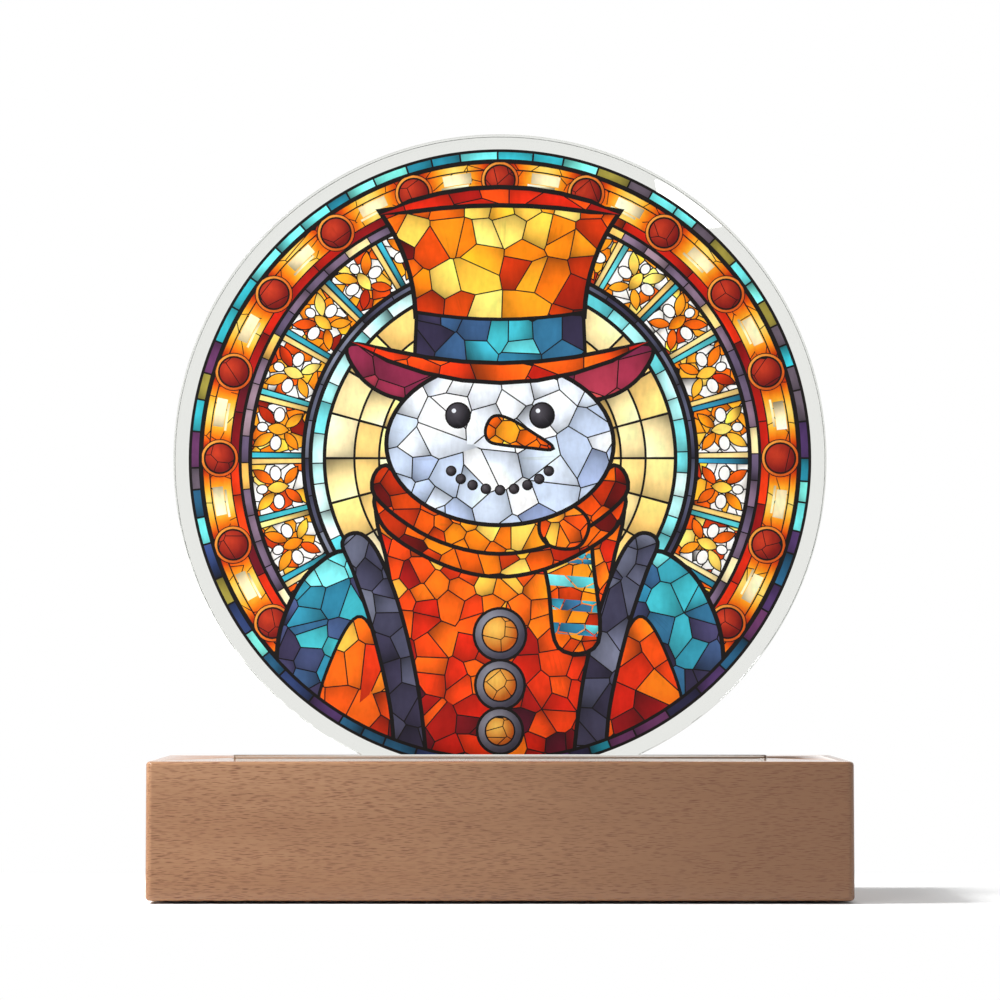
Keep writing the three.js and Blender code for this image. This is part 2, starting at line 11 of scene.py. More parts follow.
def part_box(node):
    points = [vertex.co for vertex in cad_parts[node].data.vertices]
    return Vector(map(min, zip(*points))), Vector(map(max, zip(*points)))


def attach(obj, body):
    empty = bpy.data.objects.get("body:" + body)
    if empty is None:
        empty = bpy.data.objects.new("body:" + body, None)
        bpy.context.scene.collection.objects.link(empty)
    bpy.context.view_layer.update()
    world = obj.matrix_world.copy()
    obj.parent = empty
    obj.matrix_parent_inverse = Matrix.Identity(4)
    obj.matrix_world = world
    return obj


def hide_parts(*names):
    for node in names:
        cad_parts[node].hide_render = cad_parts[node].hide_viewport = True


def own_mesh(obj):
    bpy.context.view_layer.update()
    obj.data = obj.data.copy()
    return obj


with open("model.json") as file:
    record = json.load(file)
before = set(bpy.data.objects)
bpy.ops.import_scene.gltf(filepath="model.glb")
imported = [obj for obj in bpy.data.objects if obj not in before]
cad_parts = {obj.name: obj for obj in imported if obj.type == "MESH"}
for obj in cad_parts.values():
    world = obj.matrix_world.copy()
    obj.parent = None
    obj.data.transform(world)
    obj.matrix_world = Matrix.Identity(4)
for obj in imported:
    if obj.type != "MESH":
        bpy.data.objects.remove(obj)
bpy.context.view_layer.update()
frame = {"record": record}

# The view: a level look at the front from a little above the table, through a long lens that is
# tipped up by a few degrees, so that the base shows its front and only a sliver of its top.
def ends(node):
    """The lowest and the highest corner of a CAD node."""
    return [Vector(corner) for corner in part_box(node)]


def placed(name, data):
    """A new object in the scene, at the origin, unturned and unscaled."""
    thing = bpy.data.objects.new(name, data)
    bpy.context.scene.collection.objects.link(thing)
    return thing


block_low, block_high = ends("base_block")
view_distance = 0.634
view_height = 0.0517
view_tilt = math.radians(3.04)
view_lens = 107.6
camera = placed("camera", bpy.data.cameras.new("camera"))
camera.data.lens = view_lens
camera.data.sensor_width = 36
camera.data.clip_start = 0.01
camera.location = (0, block_low.y - view_distance, view_height)
camera.rotation_euler = (math.pi / 2 + view_tilt, 0, 0)
bpy.context.scene.camera = camera
bpy.context.scene.view_settings.view_transform = "Standard"


# The studio: a pale floor that keeps the shadow, a white surround, a soft main lamp from the upper
# left, and a wide weak one from the front left and from behind. All of it is the room's.
class Value:
    """A shader socket that works in Python sums."""

    def __init__(self, tree, socket):
        self.tree = tree
        self.socket = socket

    def maths(self, operation, *values):
        node = self.tree.nodes.new("ShaderNodeMath")
        node.operation = operation
        for socket, value in zip(node.inputs, values):
            put(self.tree, socket, value)
        return Value(self.tree, node.outputs[0])

    def __add__(self, other):
        return self.maths("ADD", self, other)

    def __radd__(self, other):
        return self.maths("ADD", other, self)

    def __sub__(self, other):
        return self.maths("SUBTRACT", self, other)

    def __rsub__(self, other):
        return self.maths("SUBTRACT", other, self)

    def __mul__(self, other):
        return self.maths("MULTIPLY", self, other)

    def __truediv__(self, other):
        return self.maths("DIVIDE", self, other)

    def __pow__(self, other):
        return self.maths("POWER", self, other)

    def __abs__(self):
        return self.maths("ABSOLUTE", self)

    def most(self, other):
        return self.maths("MAXIMUM", self, other)

    def least(self, other):
        return self.maths("MINIMUM", self, other)


def put(tree, socket, value):
    if isinstance(value, Value):
        tree.links.new(value.socket, socket)
    else:
        socket.default_value = value


class Finish:
    """A node material, built one node at a time."""

    def __init__(self, name, owner=None):
        self.owner = owner or bpy.data.materials.new(name)
        self.owner.use_nodes = True
        self.tree = self.owner.node_tree
        self.tree.nodes.clear()

    def node(self, kind, settings=None, sockets=None, output=0):
        node = self.tree.nodes.new("ShaderNode" + kind)
        for name, value in (settings or {}).items():
            setattr(node, name, value)
        for name, value in (sockets or {}).items():
            put(self.tree, node.inputs[name], value)
        return Value(self.tree, node.outputs[output]) if node.outputs else None

    def place(self, scale=(1, 1, 1), turn=(0, 0, 0), move=(0, 0, 0)):
        sockets = {"Scale": scale, "Rotation": turn, "Location": move}
        return self.node("Mapping", None, sockets | {"Vector": self.node("TexCoord", output="Object")})

    def along(self, axis):
        """How far a point lies along one of the object's own axes."""
        return self.node("SeparateXYZ", None, {"Vector": self.place()}, output=axis)

    def noise(self, scale, detail=2.0, roughness=0.5, turn=(0, 0, 0)):
        sockets = {"Vector": self.place(scale, turn), "Scale": 1.0, "Detail": detail, "Roughness": roughness}
        return self.node("TexNoise", None, sockets)

    def bump(self, height, strength, distance):
        return self.node("Bump", None, {"Strength": strength, "Distance": distance, "Height": height})

    def steps(self, value, low, high, to_low=0.0, to_high=1.0):
        sockets = {"Value": value, "From Min": low, "From Max": high, "To Min": to_low, "To Max": to_high}
        return self.node("MapRange", {"interpolation_type": "SMOOTHSTEP"}, sockets)

    def mix(self, factor, first, second, blend="MIX"):
        settings = {"data_type": "RGBA", "blend_type": blend}
        return self.node("Mix", settings, {0: factor, 6: first, 7: second}, output=2)

    def surface(self, colour, roughness, normal, others=None):
        sockets = {"Base Color": colour, "Roughness": roughness, "Normal": normal}
        shader = self.node("BsdfPrincipled", None, sockets | (others or {}))
        self.node("OutputMaterial", None, {"Surface": shader})
        return self.owner


def linear(seen):
    """Brightness as it is seen, from 0 to 1, in the shader's own linear numbers."""
    return np.where(seen <= 0.04045, seen / 12.92, ((seen + 0.055) / 1.055) ** 2.4)


def srgb(red, green, blue):
    return (*linear(np.array((red, green, blue)) / 255).tolist(), 1.0)


def seen_directly(finish):
    """One for rays that show the surround itself: the camera's, and those through glass and off gloss."""
    rays = [finish.node("LightPath", output=name) for name in ("Is Camera Ray", "Is Glossy Ray")]
    rays.append(finish.node("LightPath", output="Is Transmission Ray"))
    return rays[0].most(rays[1]).most(rays[2])


room_light = 0.3
world = bpy.data.worlds.new("studio")
bpy.context.scene.world = world
surround = Finish("studio", world)
shown = seen_directly(surround)
strength = shown * (1 - room_light) + room_light
backdrop = surround.node("Background", None, {"Color": (1, 1, 1, 1), "Strength": strength})
surround.node("OutputWorld", None, {"Surface": backdrop})

floor_reach = 6.0
floor_mesh = bpy.data.meshes.new("floor")
floor_corners = [(-floor_reach, -floor_reach, 0), (floor_reach, -floor_reach, 0)]
floor_corners += [(floor_reach, floor_reach, 0), (-floor_reach, floor_reach, 0)]
floor_mesh.from_pydata(floor_corners, [], [(0, 1, 2, 3)])
floor = placed("floor", floor_mesh)
floor_finish = Finish("floor")
floor_paper = floor_finish.node("BsdfDiffuse", None, {"Color": (0.9, 0.9, 0.9, 1)})
floor_seen = seen_directly(floor_finish)
floor_gap = (abs(floor_finish.along("X")) - block_high.x).most(abs(floor_finish.along("Y")) - block_high.y)
floor_lift = 0.14
# Painted contact shade: the floor's glow is taken away under the block and within 2 mm of its footprint. This
# makes the floor right at the block's foot darker than its light alone makes it.
painted_contact_shade_fade, far_fade = (-0.001, 0.002), (0.014, 0.05)
floor_past_painted_contact_shade = floor_finish.steps(floor_gap, *painted_contact_shade_fade)
floor_glow = floor_finish.node("Emission", None, {"Strength": floor_seen * floor_past_painted_contact_shade * floor_lift})
floor_both = floor_finish.node("AddShader", None, {0: floor_paper, 1: floor_glow})
floor_white = floor_finish.node("Emission", None, {"Strength": 1.0})
floor_far = floor_finish.steps(floor_gap, *far_fade) * floor_seen
floor_whole = floor_finish.node("MixShader", None, {0: floor_far, 1: floor_both, 2: floor_white})
floor_finish.node("OutputMaterial", None, {"Surface": floor_whole})
floor_mesh.materials.append(floor_finish.owner)


def soft_lamp(name, place, target, size, power):
    lamp = placed(name, bpy.data.lights.new(name, "AREA"))
    lamp.data.shape = "SQUARE"
    lamp.data.size = size
    lamp.data.energy = power
    lamp.location = place
    lamp.rotation_euler = (Vector(target) - Vector(place)).to_track_quat("-Z", "Y").to_euler()


soft_lamp("main_lamp", (-0.62, -0.08, 0.72), (0, 0, 0.02), 0.2, 13.0)
soft_lamp("front_lamp", (-1.05, -1.25, 0.4), (0, 0, 0.08), 0.8, 7.2)
soft_lamp("rear_lamp", (0.45, 1.1, 0.75), (0, 0, 0.08), 0.9, 4.0)


# The wooden base: one block of steamed beech, sawn, routed for the slot, the pocket and the inlet,
# sanded, its edges eased, and finished with a thin satin oil.
def shaded(mesh, name, angle):
    """A piece with smooth rounds, sharp corners and flat faces that stay flat right up to the edge."""
    for face in mesh.polygons:
        face.use_smooth = True
    mesh.set_sharp_from_angle(angle=math.radians(angle))
    piece = placed(name, mesh)
    weighting = piece.modifiers.new("flat_faces", "WEIGHTED_NORMAL")
    weighting.keep_sharp = True
    weighting.weight = 100
    shown = bpy.context.evaluated_depsgraph_get()
    flat_mesh = bpy.data.meshes.new_from_object(
        piece.evaluated_get(shown), preserve_all_data_layers=True, depsgraph=shown
    )
    piece.modifiers.clear()
    piece.data = flat_mesh
    return piece


def copy_of(node, name):
    """A copy of a CAD node's mesh with its corners joined, its flats whole and its rounds smooth."""
    mesh = bpy.data.objects[node].data.copy()
    body = bmesh.new()
    body.from_mesh(mesh)
    bmesh.ops.remove_doubles(body, verts=body.verts, dist=1e-6)
    bmesh.ops.dissolve_limit(
        body, angle_limit=math.radians(0.5), use_dissolve_boundaries=False, verts=body.verts, edges=body.edges
    )
    bmesh.ops.triangulate(body, faces=body.faces)
    body.to_mesh(mesh)
    body.free()
    mesh.materials.clear()
    return shaded(mesh, name, 32)


def beech():
    finish = Finish("oiled_beech")
    across = finish.along("X") / block_high.x
    painted_shade_waver = finish.noise((9, 40, 40))
    bands = finish.noise((7, 55, 70), 3.0, 0.55, turn=(0.05, 0.04, 0.02))
    fibre = finish.noise((150, 1400, 2600), 3.0, 0.6, turn=(0.0, 0.03, 0.0))
    tone = finish.mix(finish.steps(bands, 0.32, 0.68), srgb(156, 111, 76), srgb(173, 128, 92))
    # Painted shade, partly a real change of tone: the wood darkens towards the block's right end, as if the
    # main lamp's light fell off from the left, with noise to waver the line.
    side = finish.steps(across + (painted_shade_waver - 0.5) * 0.5, -1.2, 1.1)
    tone = finish.mix(side, tone, srgb(124, 86, 56))
    tone = finish.mix(finish.steps(fibre, 0.38, 0.72) * 0.3, tone, srgb(122, 78, 50))
    marks, fleck_lean = None, (0.0, -0.05, 0.01)
    for scale, seed in (((250, 1500, 4200), 0.0), ((360, 1900, 5200), 3.7)):
        place = finish.place(scale, fleck_lean, (seed, seed, seed))
        spots = 1.0 - finish.node("TexVoronoi", None, {"Vector": place, "Scale": 1.0, "Randomness": 1.0})
        marks = marks.most(spots) if marks else spots
    flecks = finish.steps(marks, 0.66, 0.84)
    patches = finish.steps(finish.noise((40, 160, 260)), 0.3, 0.6, 0.55, 1.0)
    colour = finish.mix(flecks * patches * 0.9, tone, srgb(100, 56, 32))
    rough = 0.5 + flecks * 0.2 + (fibre - 0.5) * 0.2
    bump = finish.bump(fibre * 0.6 - flecks * 0.8, 0.3, 0.00006)
    oil = {"Coat Weight": 0.75, "Coat Roughness": 0.08, "Specular IOR Level": 0.2}
    return finish.surface(colour, rough, bump, oil)


beech_block = copy_of("base_block", "beech_block")
beech_block.data.materials.append(beech())
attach(beech_block, "base")
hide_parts("base_block")

# The underside: a moulded black cover, its four pan-head screws and four round rubber pads. The same
# kind of screw, in smaller sizes, holds the boards and the rear bezel.
class Pattern:
    """A Geometry Nodes tree, built one node at a time."""

    def __init__(self, name, *lengths, **others):
        self.tree = bpy.data.node_groups.new(name, "GeometryNodeTree")
        inputs = {"Spots": "Geometry"} | dict.fromkeys(lengths, "Float") | others | {"Material": "Material"}
        for label, kind in inputs.items():
            self.tree.interface.new_socket(label, in_out="INPUT", socket_type="NodeSocket" + kind)
        self.tree.interface.new_socket("Made", in_out="OUTPUT", socket_type="NodeSocketGeometry")
        self.given = self.tree.nodes.new("NodeGroupInput")

    def __getitem__(self, label):
        return Value(self.tree, self.given.outputs[label])

    def node(self, kind, settings=None, sockets=None, output=0):
        node = self.tree.nodes.new(kind)
        for name, value in (settings or {}).items():
            setattr(node, name, value)
        for name, value in (sockets or {}).items():
            for part in value if isinstance(value, list) else [value]:
                put(self.tree, node.inputs[name], part)
        return Value(self.tree, node.outputs[output]) if node.outputs else None

    def vector(self, x, y, z):
        return self.node("ShaderNodeCombineXYZ", None, {"X": x, "Y": y, "Z": z})

    def moved(self, shape, move=(0, 0, 0), scale=(1, 1, 1)):
        sockets = {"Geometry": shape, "Translation": move, "Scale": scale}
        return self.node("GeometryNodeTransform", None, sockets)

    def cube(self, x, y, z, move):
        shape = self.node("GeometryNodeMeshCube", None, {"Size": self.vector(x, y, z)})
        return self.moved(shape, move)

    def joined(self, operation, first, second):
        if operation == "DIFFERENCE":
            return self.node("GeometryNodeMeshBoolean", {"operation": operation}, {0: first, 1: second})
        return self.node("GeometryNodeMeshBoolean", {"operation": operation}, {1: [first, second]})

    def repeat(self, unit, turn=None, spin=None):
        """Set the unit at every spot, make it real and give it the material."""
        sockets = {"Points": self["Spots"], "Instance": unit}
        if turn:
            sockets["Rotation"] = turn
        made = self.node("GeometryNodeInstanceOnPoints", None, sockets)
        if spin:
            made = self.node("GeometryNodeRotateInstances", None, {"Instances": made, "Rotation": spin})
        made = self.node("GeometryNodeRealizeInstances", None, {"Geometry": made})
        made = self.node("GeometryNodeSetMaterial", None, {"Geometry": made, "Material": self["Material"]})
        self.node("NodeGroupOutput", None, {"Made": made})


def laid_out(name, pattern, spots, values, angle=30):
    """The pattern run on a set of spots and turned into one plain mesh."""
    mesh = bpy.data.meshes.new(name + "_spots")
    mesh.from_pydata([tuple(spot) for spot in spots], [], [])
    source = placed(name + "_spots", mesh)
    modifier = source.modifiers.new("pattern", "NODES")
    modifier.node_group = pattern.tree
    for item in pattern.tree.interface.items_tree:
        if item.item_type == "SOCKET" and item.in_out == "INPUT" and item.name in values:
            modifier[item.identifier] = values[item.name]
    ready = source.evaluated_get(bpy.context.evaluated_depsgraph_get())
    made = bpy.data.meshes.new_from_object(ready)
    made.name = name
    bpy.data.objects.remove(source)
    for face in made.polygons:
        face.use_smooth = True
    made.set_sharp_from_angle(angle=math.radians(angle))
    return placed(name, made)


def middle_of(node):
    low, high = ends(node)
    return (low + high) / 2


def coat(node, material):
    slots = bpy.data.objects[node].data.materials
    slots.clear()
    slots.append(material)


def moulded(name, colour, worn, rough=0.5):
    """Moulded plastic or rubber: a fine spark texture, faint flow and a little scuffing."""
    finish = Finish(name)
    spark = finish.noise((2600, 2600, 2600), 3.0, 0.6)
    flow = finish.noise((40, 70, 70))
    scuff = finish.noise((160, 420, 420), 4.0, 0.65, turn=(0.3, 0.2, 0.1))
    wear = finish.steps(flow, 0.3, 0.7) * 0.4 + finish.steps(scuff, 0.62, 0.8) * 0.5
    shade = finish.mix(wear, colour, worn)
    bump = finish.bump(spark, 0.4, 0.00004)
    return finish.surface(shade, finish.steps(scuff, 0.3, 0.75, rough, rough + 0.2), bump)


def plated(name, colour):
    """Nickel plate: fine turning marks and a slight tarnish."""
    finish = Finish(name)
    marks = finish.noise((900, 900, 5200))
    tarnish = finish.noise((420, 420, 420), 3.0, 0.6)
    shade = finish.mix(finish.steps(tarnish, 0.45, 0.75), colour, srgb(150, 146, 138))
    bump = finish.bump(marks, 0.2, 0.00002)
    return finish.surface(shade, finish.steps(tarnish, 0.3, 0.7, 0.22, 0.4), bump, {"Metallic": 1.0})


def screw_pattern():
    pattern = Pattern(
        "pan_head_screws", "Head Radius", "Head Height", "Shank Radius", "Length", Turn="Vector", Seed="Int"
    )
    radius, height = pattern["Head Radius"], pattern["Head Height"]
    shank, length = pattern["Shank Radius"], pattern["Length"]
    ball_shape = pattern.node("GeometryNodeMeshUVSphere", None, {"Segments": 32, "Rings": 20, "Radius": 1.0})
    dome = pattern.moved(ball_shape, scale=pattern.vector(radius, radius, height))
    lower = pattern.cube(radius * 2.4, radius * 2.4, height * 1.2, pattern.vector(0.0, 0.0, height * -0.6))
    head = pattern.joined("INTERSECT", dome, lower)
    for x, y in ((1.1, 0.24), (0.24, 1.1)):
        slot = pattern.cube(radius * x, radius * y, height * 1.1, pattern.vector(0.0, 0.0, height * -1.0))
        head = pattern.joined("DIFFERENCE", head, slot)
    rod = pattern.node(
        "GeometryNodeMeshCylinder", None, {"Vertices": 20, "Radius": shank, "Depth": length + height * 0.2}
    )
    rod = pattern.moved(rod, pattern.vector(0.0, 0.0, length * 0.5 - height * 0.1))
    unit = pattern.joined("UNION", head, rod)
    spin = pattern.node(
        "FunctionNodeRandomValue", {"data_type": "FLOAT"}, {2: 0.0, 3: 3.1, "Seed": pattern["Seed"]}, output=1
    )
    pattern.repeat(unit, pattern["Turn"], pattern.vector(0.0, 0.0, spin))
    return pattern


steel = plated("nickel_plate", srgb(205, 206, 205))
screws = screw_pattern()
upright, facing_back = (0.0, 0.0, 0.0), (math.pi / 2, 0.0, 0.0)
for name, nodes, head_height, shank_radius, turn, seed in (
    ("cover_screws", [f"cover_screw_{index}" for index in range(1, 5)], 0.0014, 0.0012, upright, 3),
    ("led_board_screws", ["led_board_screw_1", "led_board_screw_2"], 0.0012, 0.001, upright, 5),
    ("control_board_screws", ["control_board_screw_1", "control_board_screw_2"], 0.0012, 0.001, upright, 8),
    ("bezel_screws", ["bezel_screw_1", "bezel_screw_2"], 0.0006, 0.0008, facing_back, 13),
):
    spots = []
    for node in nodes:
        low, high = ends(node)
        middle = middle_of(node)
        if turn is upright:
            spots.append((middle.x, middle.y, low.z + head_height))
        else:
            spots.append((middle.x, high.y - head_height, middle.z))
    long_way = high.z - low.z if turn is upright else high.y - low.y
    piece = laid_out(name, screws, spots, {
        "Head Radius": (high.x - low.x) / 2, "Head Height": head_height, "Shank Radius": shank_radius,
        "Length": long_way - head_height, "Turn": turn, "Seed": seed, "Material": steel,
    })
    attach(piece, "base")
    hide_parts(*nodes)


def pad_pattern():
    pattern = Pattern("round_pads", "Radius", "Thickness", "Edge")
    radius, thick, edge = pattern["Radius"], pattern["Thickness"], pattern["Edge"]
    unit = pattern.node("GeometryNodeMeshCylinder", None, {
        "Vertices": 64, "Side Segments": 12, "Fill Segments": 8, "Radius": radius, "Depth": thick,
    })
    here = pattern.node("GeometryNodeInputPosition")
    x, y, z = (pattern.node("ShaderNodeSeparateXYZ", None, {"Vector": here}, output=axis) for axis in "XYZ")
    rise = ((abs(z) - thick * 0.5 + edge) / edge).most(0.0).least(1.0)
    draw_in = 1.0 - (1.0 - (1.0 - rise * rise) ** 0.5) * edge / radius
    reach = (x * x + y * y) ** 0.5
    groove = 1.0 - (((reach / radius - 0.72) * 14.0) ** 2.0).least(1.0)
    dent = groove * (z / thick * -2.0).most(0.0) * edge * 0.6
    unit = pattern.node("GeometryNodeSetPosition", None, {
        "Geometry": unit, "Position": pattern.vector(x * draw_in, y * draw_in, z + dent),
    })
    pattern.repeat(unit)
    return pattern


rubber = moulded("pad_rubber", srgb(40, 40, 41), srgb(66, 65, 64), 0.75)
pad_nodes = [f"foot_pad_{index}" for index in range(1, 5)]
pad_low, pad_high = ends("foot_pad_1")
pads = laid_out("foot_pads", pad_pattern(), [middle_of(node) for node in pad_nodes], {
    "Radius": (pad_high.x - pad_low.x) / 2, "Thickness": pad_high.z - pad_low.z, "Edge": 0.0003,
    "Material": rubber,
}, 50)
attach(pads, "base")
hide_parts(*pad_nodes)

black_plastic = moulded("black_plastic", srgb(34, 34, 36), srgb(58, 57, 57))
coat("bottom_cover", black_plastic)


# The rear: a black bezel let into the wood round the power inlet and the push button, which stands
# proud by 1.4 mm and presses a switch on the board behind it.
def facing_out(points):
    points = np.array(points, float)
    x, y = points.T
    return points if (x * np.roll(y, -1) - y * np.roll(x, -1)).sum() > 0 else points[::-1]


def grown(points, distance):
    """The outline moved out by a distance."""
    points = facing_out(points)
    ahead = np.roll(points, -1, 0) - points
    normal = np.column_stack((ahead[:, 1], -ahead[:, 0])) / np.hypot(*ahead.T)[:, None]
    behind = np.roll(normal, 1, 0)
    lean = np.maximum(1 + (normal * behind).sum(1), 0.5)
    return points + distance * (normal + behind) / lean[:, None]


def inside(points, outline):
    """Which of the points lie inside an outline."""
    turns = np.zeros(len(points), int)
    x, y = points.T
    for (x1, y1), (x2, y2) in zip(outline, np.roll(outline, -1, 0)):
        side = (x2 - x1) * (y - y1) - (x - x1) * (y2 - y1)
        turns += (y1 <= y) & (y2 > y) & (side > 0)
        turns -= (y1 > y) & (y2 <= y) & (side < 0)
    return turns != 0


def pill(wide, tall, x, z, count=24):
    """A bar with round ends, or a circle, in metres across the width and the height."""
    half, turns = tall / 2, np.linspace(-math.pi / 2, math.pi / 2, count)
    right = np.column_stack((x + (wide - tall) / 2 + half * np.cos(turns), z + half * np.sin(turns)))
    left = np.column_stack((x - (wide - tall) / 2 - half * np.cos(turns), z - half * np.sin(turns)))
    return np.concatenate((right[:-1], left[:-1])) if wide <= tall else np.concatenate((right, left))


def standing_plate(name, rim, holes, front, back, edge, steps=4):
    """A flat plate that stands across Y, with rounded edges round its rim and its holes."""
    turns = np.linspace(0, math.pi / 2, steps + 1)
    inset = np.concatenate((edge * (1 - np.sin(turns)), edge * (1 - np.cos(turns))))
    depth = np.concatenate((front + edge * (1 - np.cos(turns)), back - edge * (1 - np.sin(turns))))
    corners, faces, loops = [], [], []
    for line, side in [(rim, -1), *((hole, 1) for hole in holes)]:
        rings = []
        for step, y in zip(inset, depth):
            ring = grown(line, side * step)
            rings.append(range(len(corners), len(corners) + len(ring)))
            corners += [(x, y, z) for x, z in ring]
        for near, far in zip(rings[:-1], rings[1:]):
            for here in range(len(near)):
                after = (here + 1) % len(near)
                face = (near[after], near[here], far[here], far[after])
                faces.append(face if side < 0 else face[::-1])
        loops.append((grown(line, side * inset[0]), rings[0], rings[-1]))
    flat_points = np.concatenate([loop for loop, _, _ in loops])
    sides, start = [], 0
    for loop, _, _ in loops:
        sides += [(start + step, start + (step + 1) % len(loop)) for step in range(len(loop))]
        start += len(loop)
    flat_points = [Vector(point) for point in flat_points]
    spots, _, cap, origin = delaunay_2d_cdt(flat_points, sides, [], 0, 1e-9, True)[:4]
    cap = np.array(cap)
    middles = np.array([tuple(spot) for spot in spots])[cap].mean(1)
    keep = inside(middles, loops[0][0])
    for loop, _, _ in loops[1:]:
        keep &= ~inside(middles, loop)
    near = [index for _, first, _ in loops for index in first]
    far = [index for _, _, last in loops for index in last]
    for a, b, c in cap[keep].tolist():
        a, b, c = (origin[corner][0] for corner in (a, b, c))
        faces.append((near[a], near[b], near[c]))
        faces.append((far[c], far[b], far[a]))
    mesh = bpy.data.meshes.new(name)
    mesh.from_pydata(corners, [], faces)
    return shaded(mesh, name, 40)


def turned_along_y(name, profile, x, z, count=64):
    """A piece turned on a lathe that lies along Y, from (radius, y) pairs that start and end on its axis."""
    corners = [(x, profile[0][1], z)]
    for radius, y in profile[1:-1]:
        for turn in np.linspace(0, 2 * math.pi, count, endpoint=False):
            corners.append((x + radius * math.cos(turn), y, z + radius * math.sin(turn)))
    corners.append((x, profile[-1][1], z))
    faces, rows = [], len(profile) - 2
    for here in range(count):
        after = (here + 1) % count
        faces.append((0, 1 + here, 1 + after))
        for row in range(rows - 1):
            start = 1 + row * count
            faces.append((start + here, start + count + here, start + count + after, start + after))
        last = 1 + (rows - 1) * count
        faces.append((len(corners) - 1, last + after, last + here))
    mesh = bpy.data.meshes.new(name)
    mesh.from_pydata(corners, [], faces)
    return shaded(mesh, name, 35)


bezel_low, bezel_high = ends("rear_bezel")
inlet_low, inlet_high = ends("inlet_shell")
button_low, button_high = ends("switch_button")
inlet_middle, button_middle = middle_of("inlet_shell"), middle_of("switch_button")
bezel_gap = 0.0003
button_radius = 0.0026
bezel_rim = pill(bezel_high.x - bezel_low.x, bezel_high.z - bezel_low.z, 0, middle_of("rear_bezel").z)
bezel_holes = [
    pill(inlet_high.x - inlet_low.x + 2 * bezel_gap, inlet_high.z - inlet_low.z + 2 * bezel_gap,
         inlet_middle.x, inlet_middle.z),
    pill(2 * (button_radius + bezel_gap), 2 * (button_radius + bezel_gap), button_middle.x, button_middle.z),
]
screw_hole, bezel_edge = 0.0034, 0.00025
for node in ("bezel_screw_1", "bezel_screw_2"):
    bezel_holes.append(pill(screw_hole, screw_hole, middle_of(node).x, middle_of(node).z, 16))
bezel = standing_plate("bezel", bezel_rim, bezel_holes, bezel_low.y, bezel_high.y, bezel_edge)
bezel.data.materials.append(black_plastic)
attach(bezel, "base")
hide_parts("rear_bezel")

flange_radius, stem_radius = 0.0033, 0.0011
flange_front = bezel_low.y - bezel_gap
flange_back = flange_front - 0.001
round_off = 0.0005
button_profile = [(0, button_low.y), (stem_radius, button_low.y), (stem_radius, flange_back)]
button_profile += [(flange_radius, flange_back), (flange_radius, flange_front), (button_radius, flange_front)]
for turn in np.linspace(0, math.pi / 2, 6):
    radius = button_radius - round_off * (1 - math.cos(turn))
    button_profile.append((radius, button_high.y - round_off * (1 - math.sin(turn))))
dish_radius, dish_depth = 0.0016, 0.00025
button_profile += [(dish_radius, button_high.y), (0.0009, button_high.y - 0.00018)]
button_profile.append((0, button_high.y - dish_depth))
button = turned_along_y("push_button", button_profile, button_middle.x, button_middle.z)
grey_plastic = moulded("grey_plastic", srgb(66, 67, 70), srgb(92, 92, 94), 0.4)
button.data.materials.append(grey_plastic)
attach(button, "button")
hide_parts("switch_button")
coat("switch_body", grey_plastic)
spring = copy_of("switch_spring", "button_spring")
spring.data.materials.append(plated("spring_wire", srgb(190, 188, 182)))
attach(spring, "base")
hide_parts("switch_spring")
spring_low, spring_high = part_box("switch_spring")
press = next(
    joint["range_m"][1] for joint in frame["record"]["behaviour"]["joints"] if joint["name"] == "button_press"
)
1 - press / (spring_high[1] - spring_low[1])
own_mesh(spring)
coat("inlet_shell", steel)
coat("inlet_tongue", black_plastic)


# The electronics: two boards in white solder mask with printed tracks, eight lamps under the slot,
# a chip, two resistors, and a red and a black wire between the boards.
def solder_mask():
    finish = Finish("solder_mask")
    tracks = finish.node("TexBrick", {"offset": 0.37}, {
        "Vector": finish.place((1, 1, 1)), "Scale": 260.0, "Mortar Size": 0.012, "Mortar Smooth": 0.2,
    }, output="Fac")
    dust = finish.noise((500, 500, 500), 3.0)
    shade = finish.mix(tracks * 0.5, srgb(232, 232, 224), srgb(196, 204, 188))
    shade = finish.mix(finish.steps(dust, 0.55, 0.8) * 0.4, shade, srgb(206, 202, 190))
    bump = finish.bump(tracks + dust * 0.3, 0.3, 0.00003)
    return finish.surface(shade, finish.steps(dust, 0.3, 0.7, 0.35, 0.5), bump)


def lamp_pattern():
    pattern = Pattern("lamps", "Length", "Width", "Height")
    length, width, height = pattern["Length"], pattern["Width"], pattern["Height"]
    block = pattern.cube(length, width, height, (0, 0, 0))
    well = pattern.node("GeometryNodeMeshCone", None, {
        "Vertices": 32, "Radius Top": width * 0.42, "Radius Bottom": width * 0.3, "Depth": height * 0.4,
    })
    well = pattern.moved(well, pattern.vector(0.0, 0.0, height * 0.2))
    block = pattern.joined("DIFFERENCE", block, well)
    round_bead = pattern.node("GeometryNodeMeshUVSphere", None, {
        "Segments": 24, "Rings": 12, "Radius": width * 0.3,
    })
    bead = pattern.moved(round_bead, pattern.vector(0.0, 0.0, height * 0.2), (1, 1, 0.35))
    pattern.repeat(pattern.joined("UNION", block, bead))
    return pattern


def lamp_plastic():
    finish = Finish("lamp_plastic")
    low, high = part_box("led_1")
    rise = finish.along("Z")
    cloud = finish.noise((1500, 1500, 1500))
    phosphor = finish.steps(rise + (cloud - 0.5) * 0.0003, high[2] - 0.0009, high[2] - 0.0003)
    shade = finish.mix(phosphor, srgb(240, 214, 110), srgb(244, 242, 234))
    bump = finish.bump(cloud, 0.2, 0.00002)
    return finish.surface(shade, finish.steps(cloud, 0.3, 0.7, 0.25, 0.4), bump)


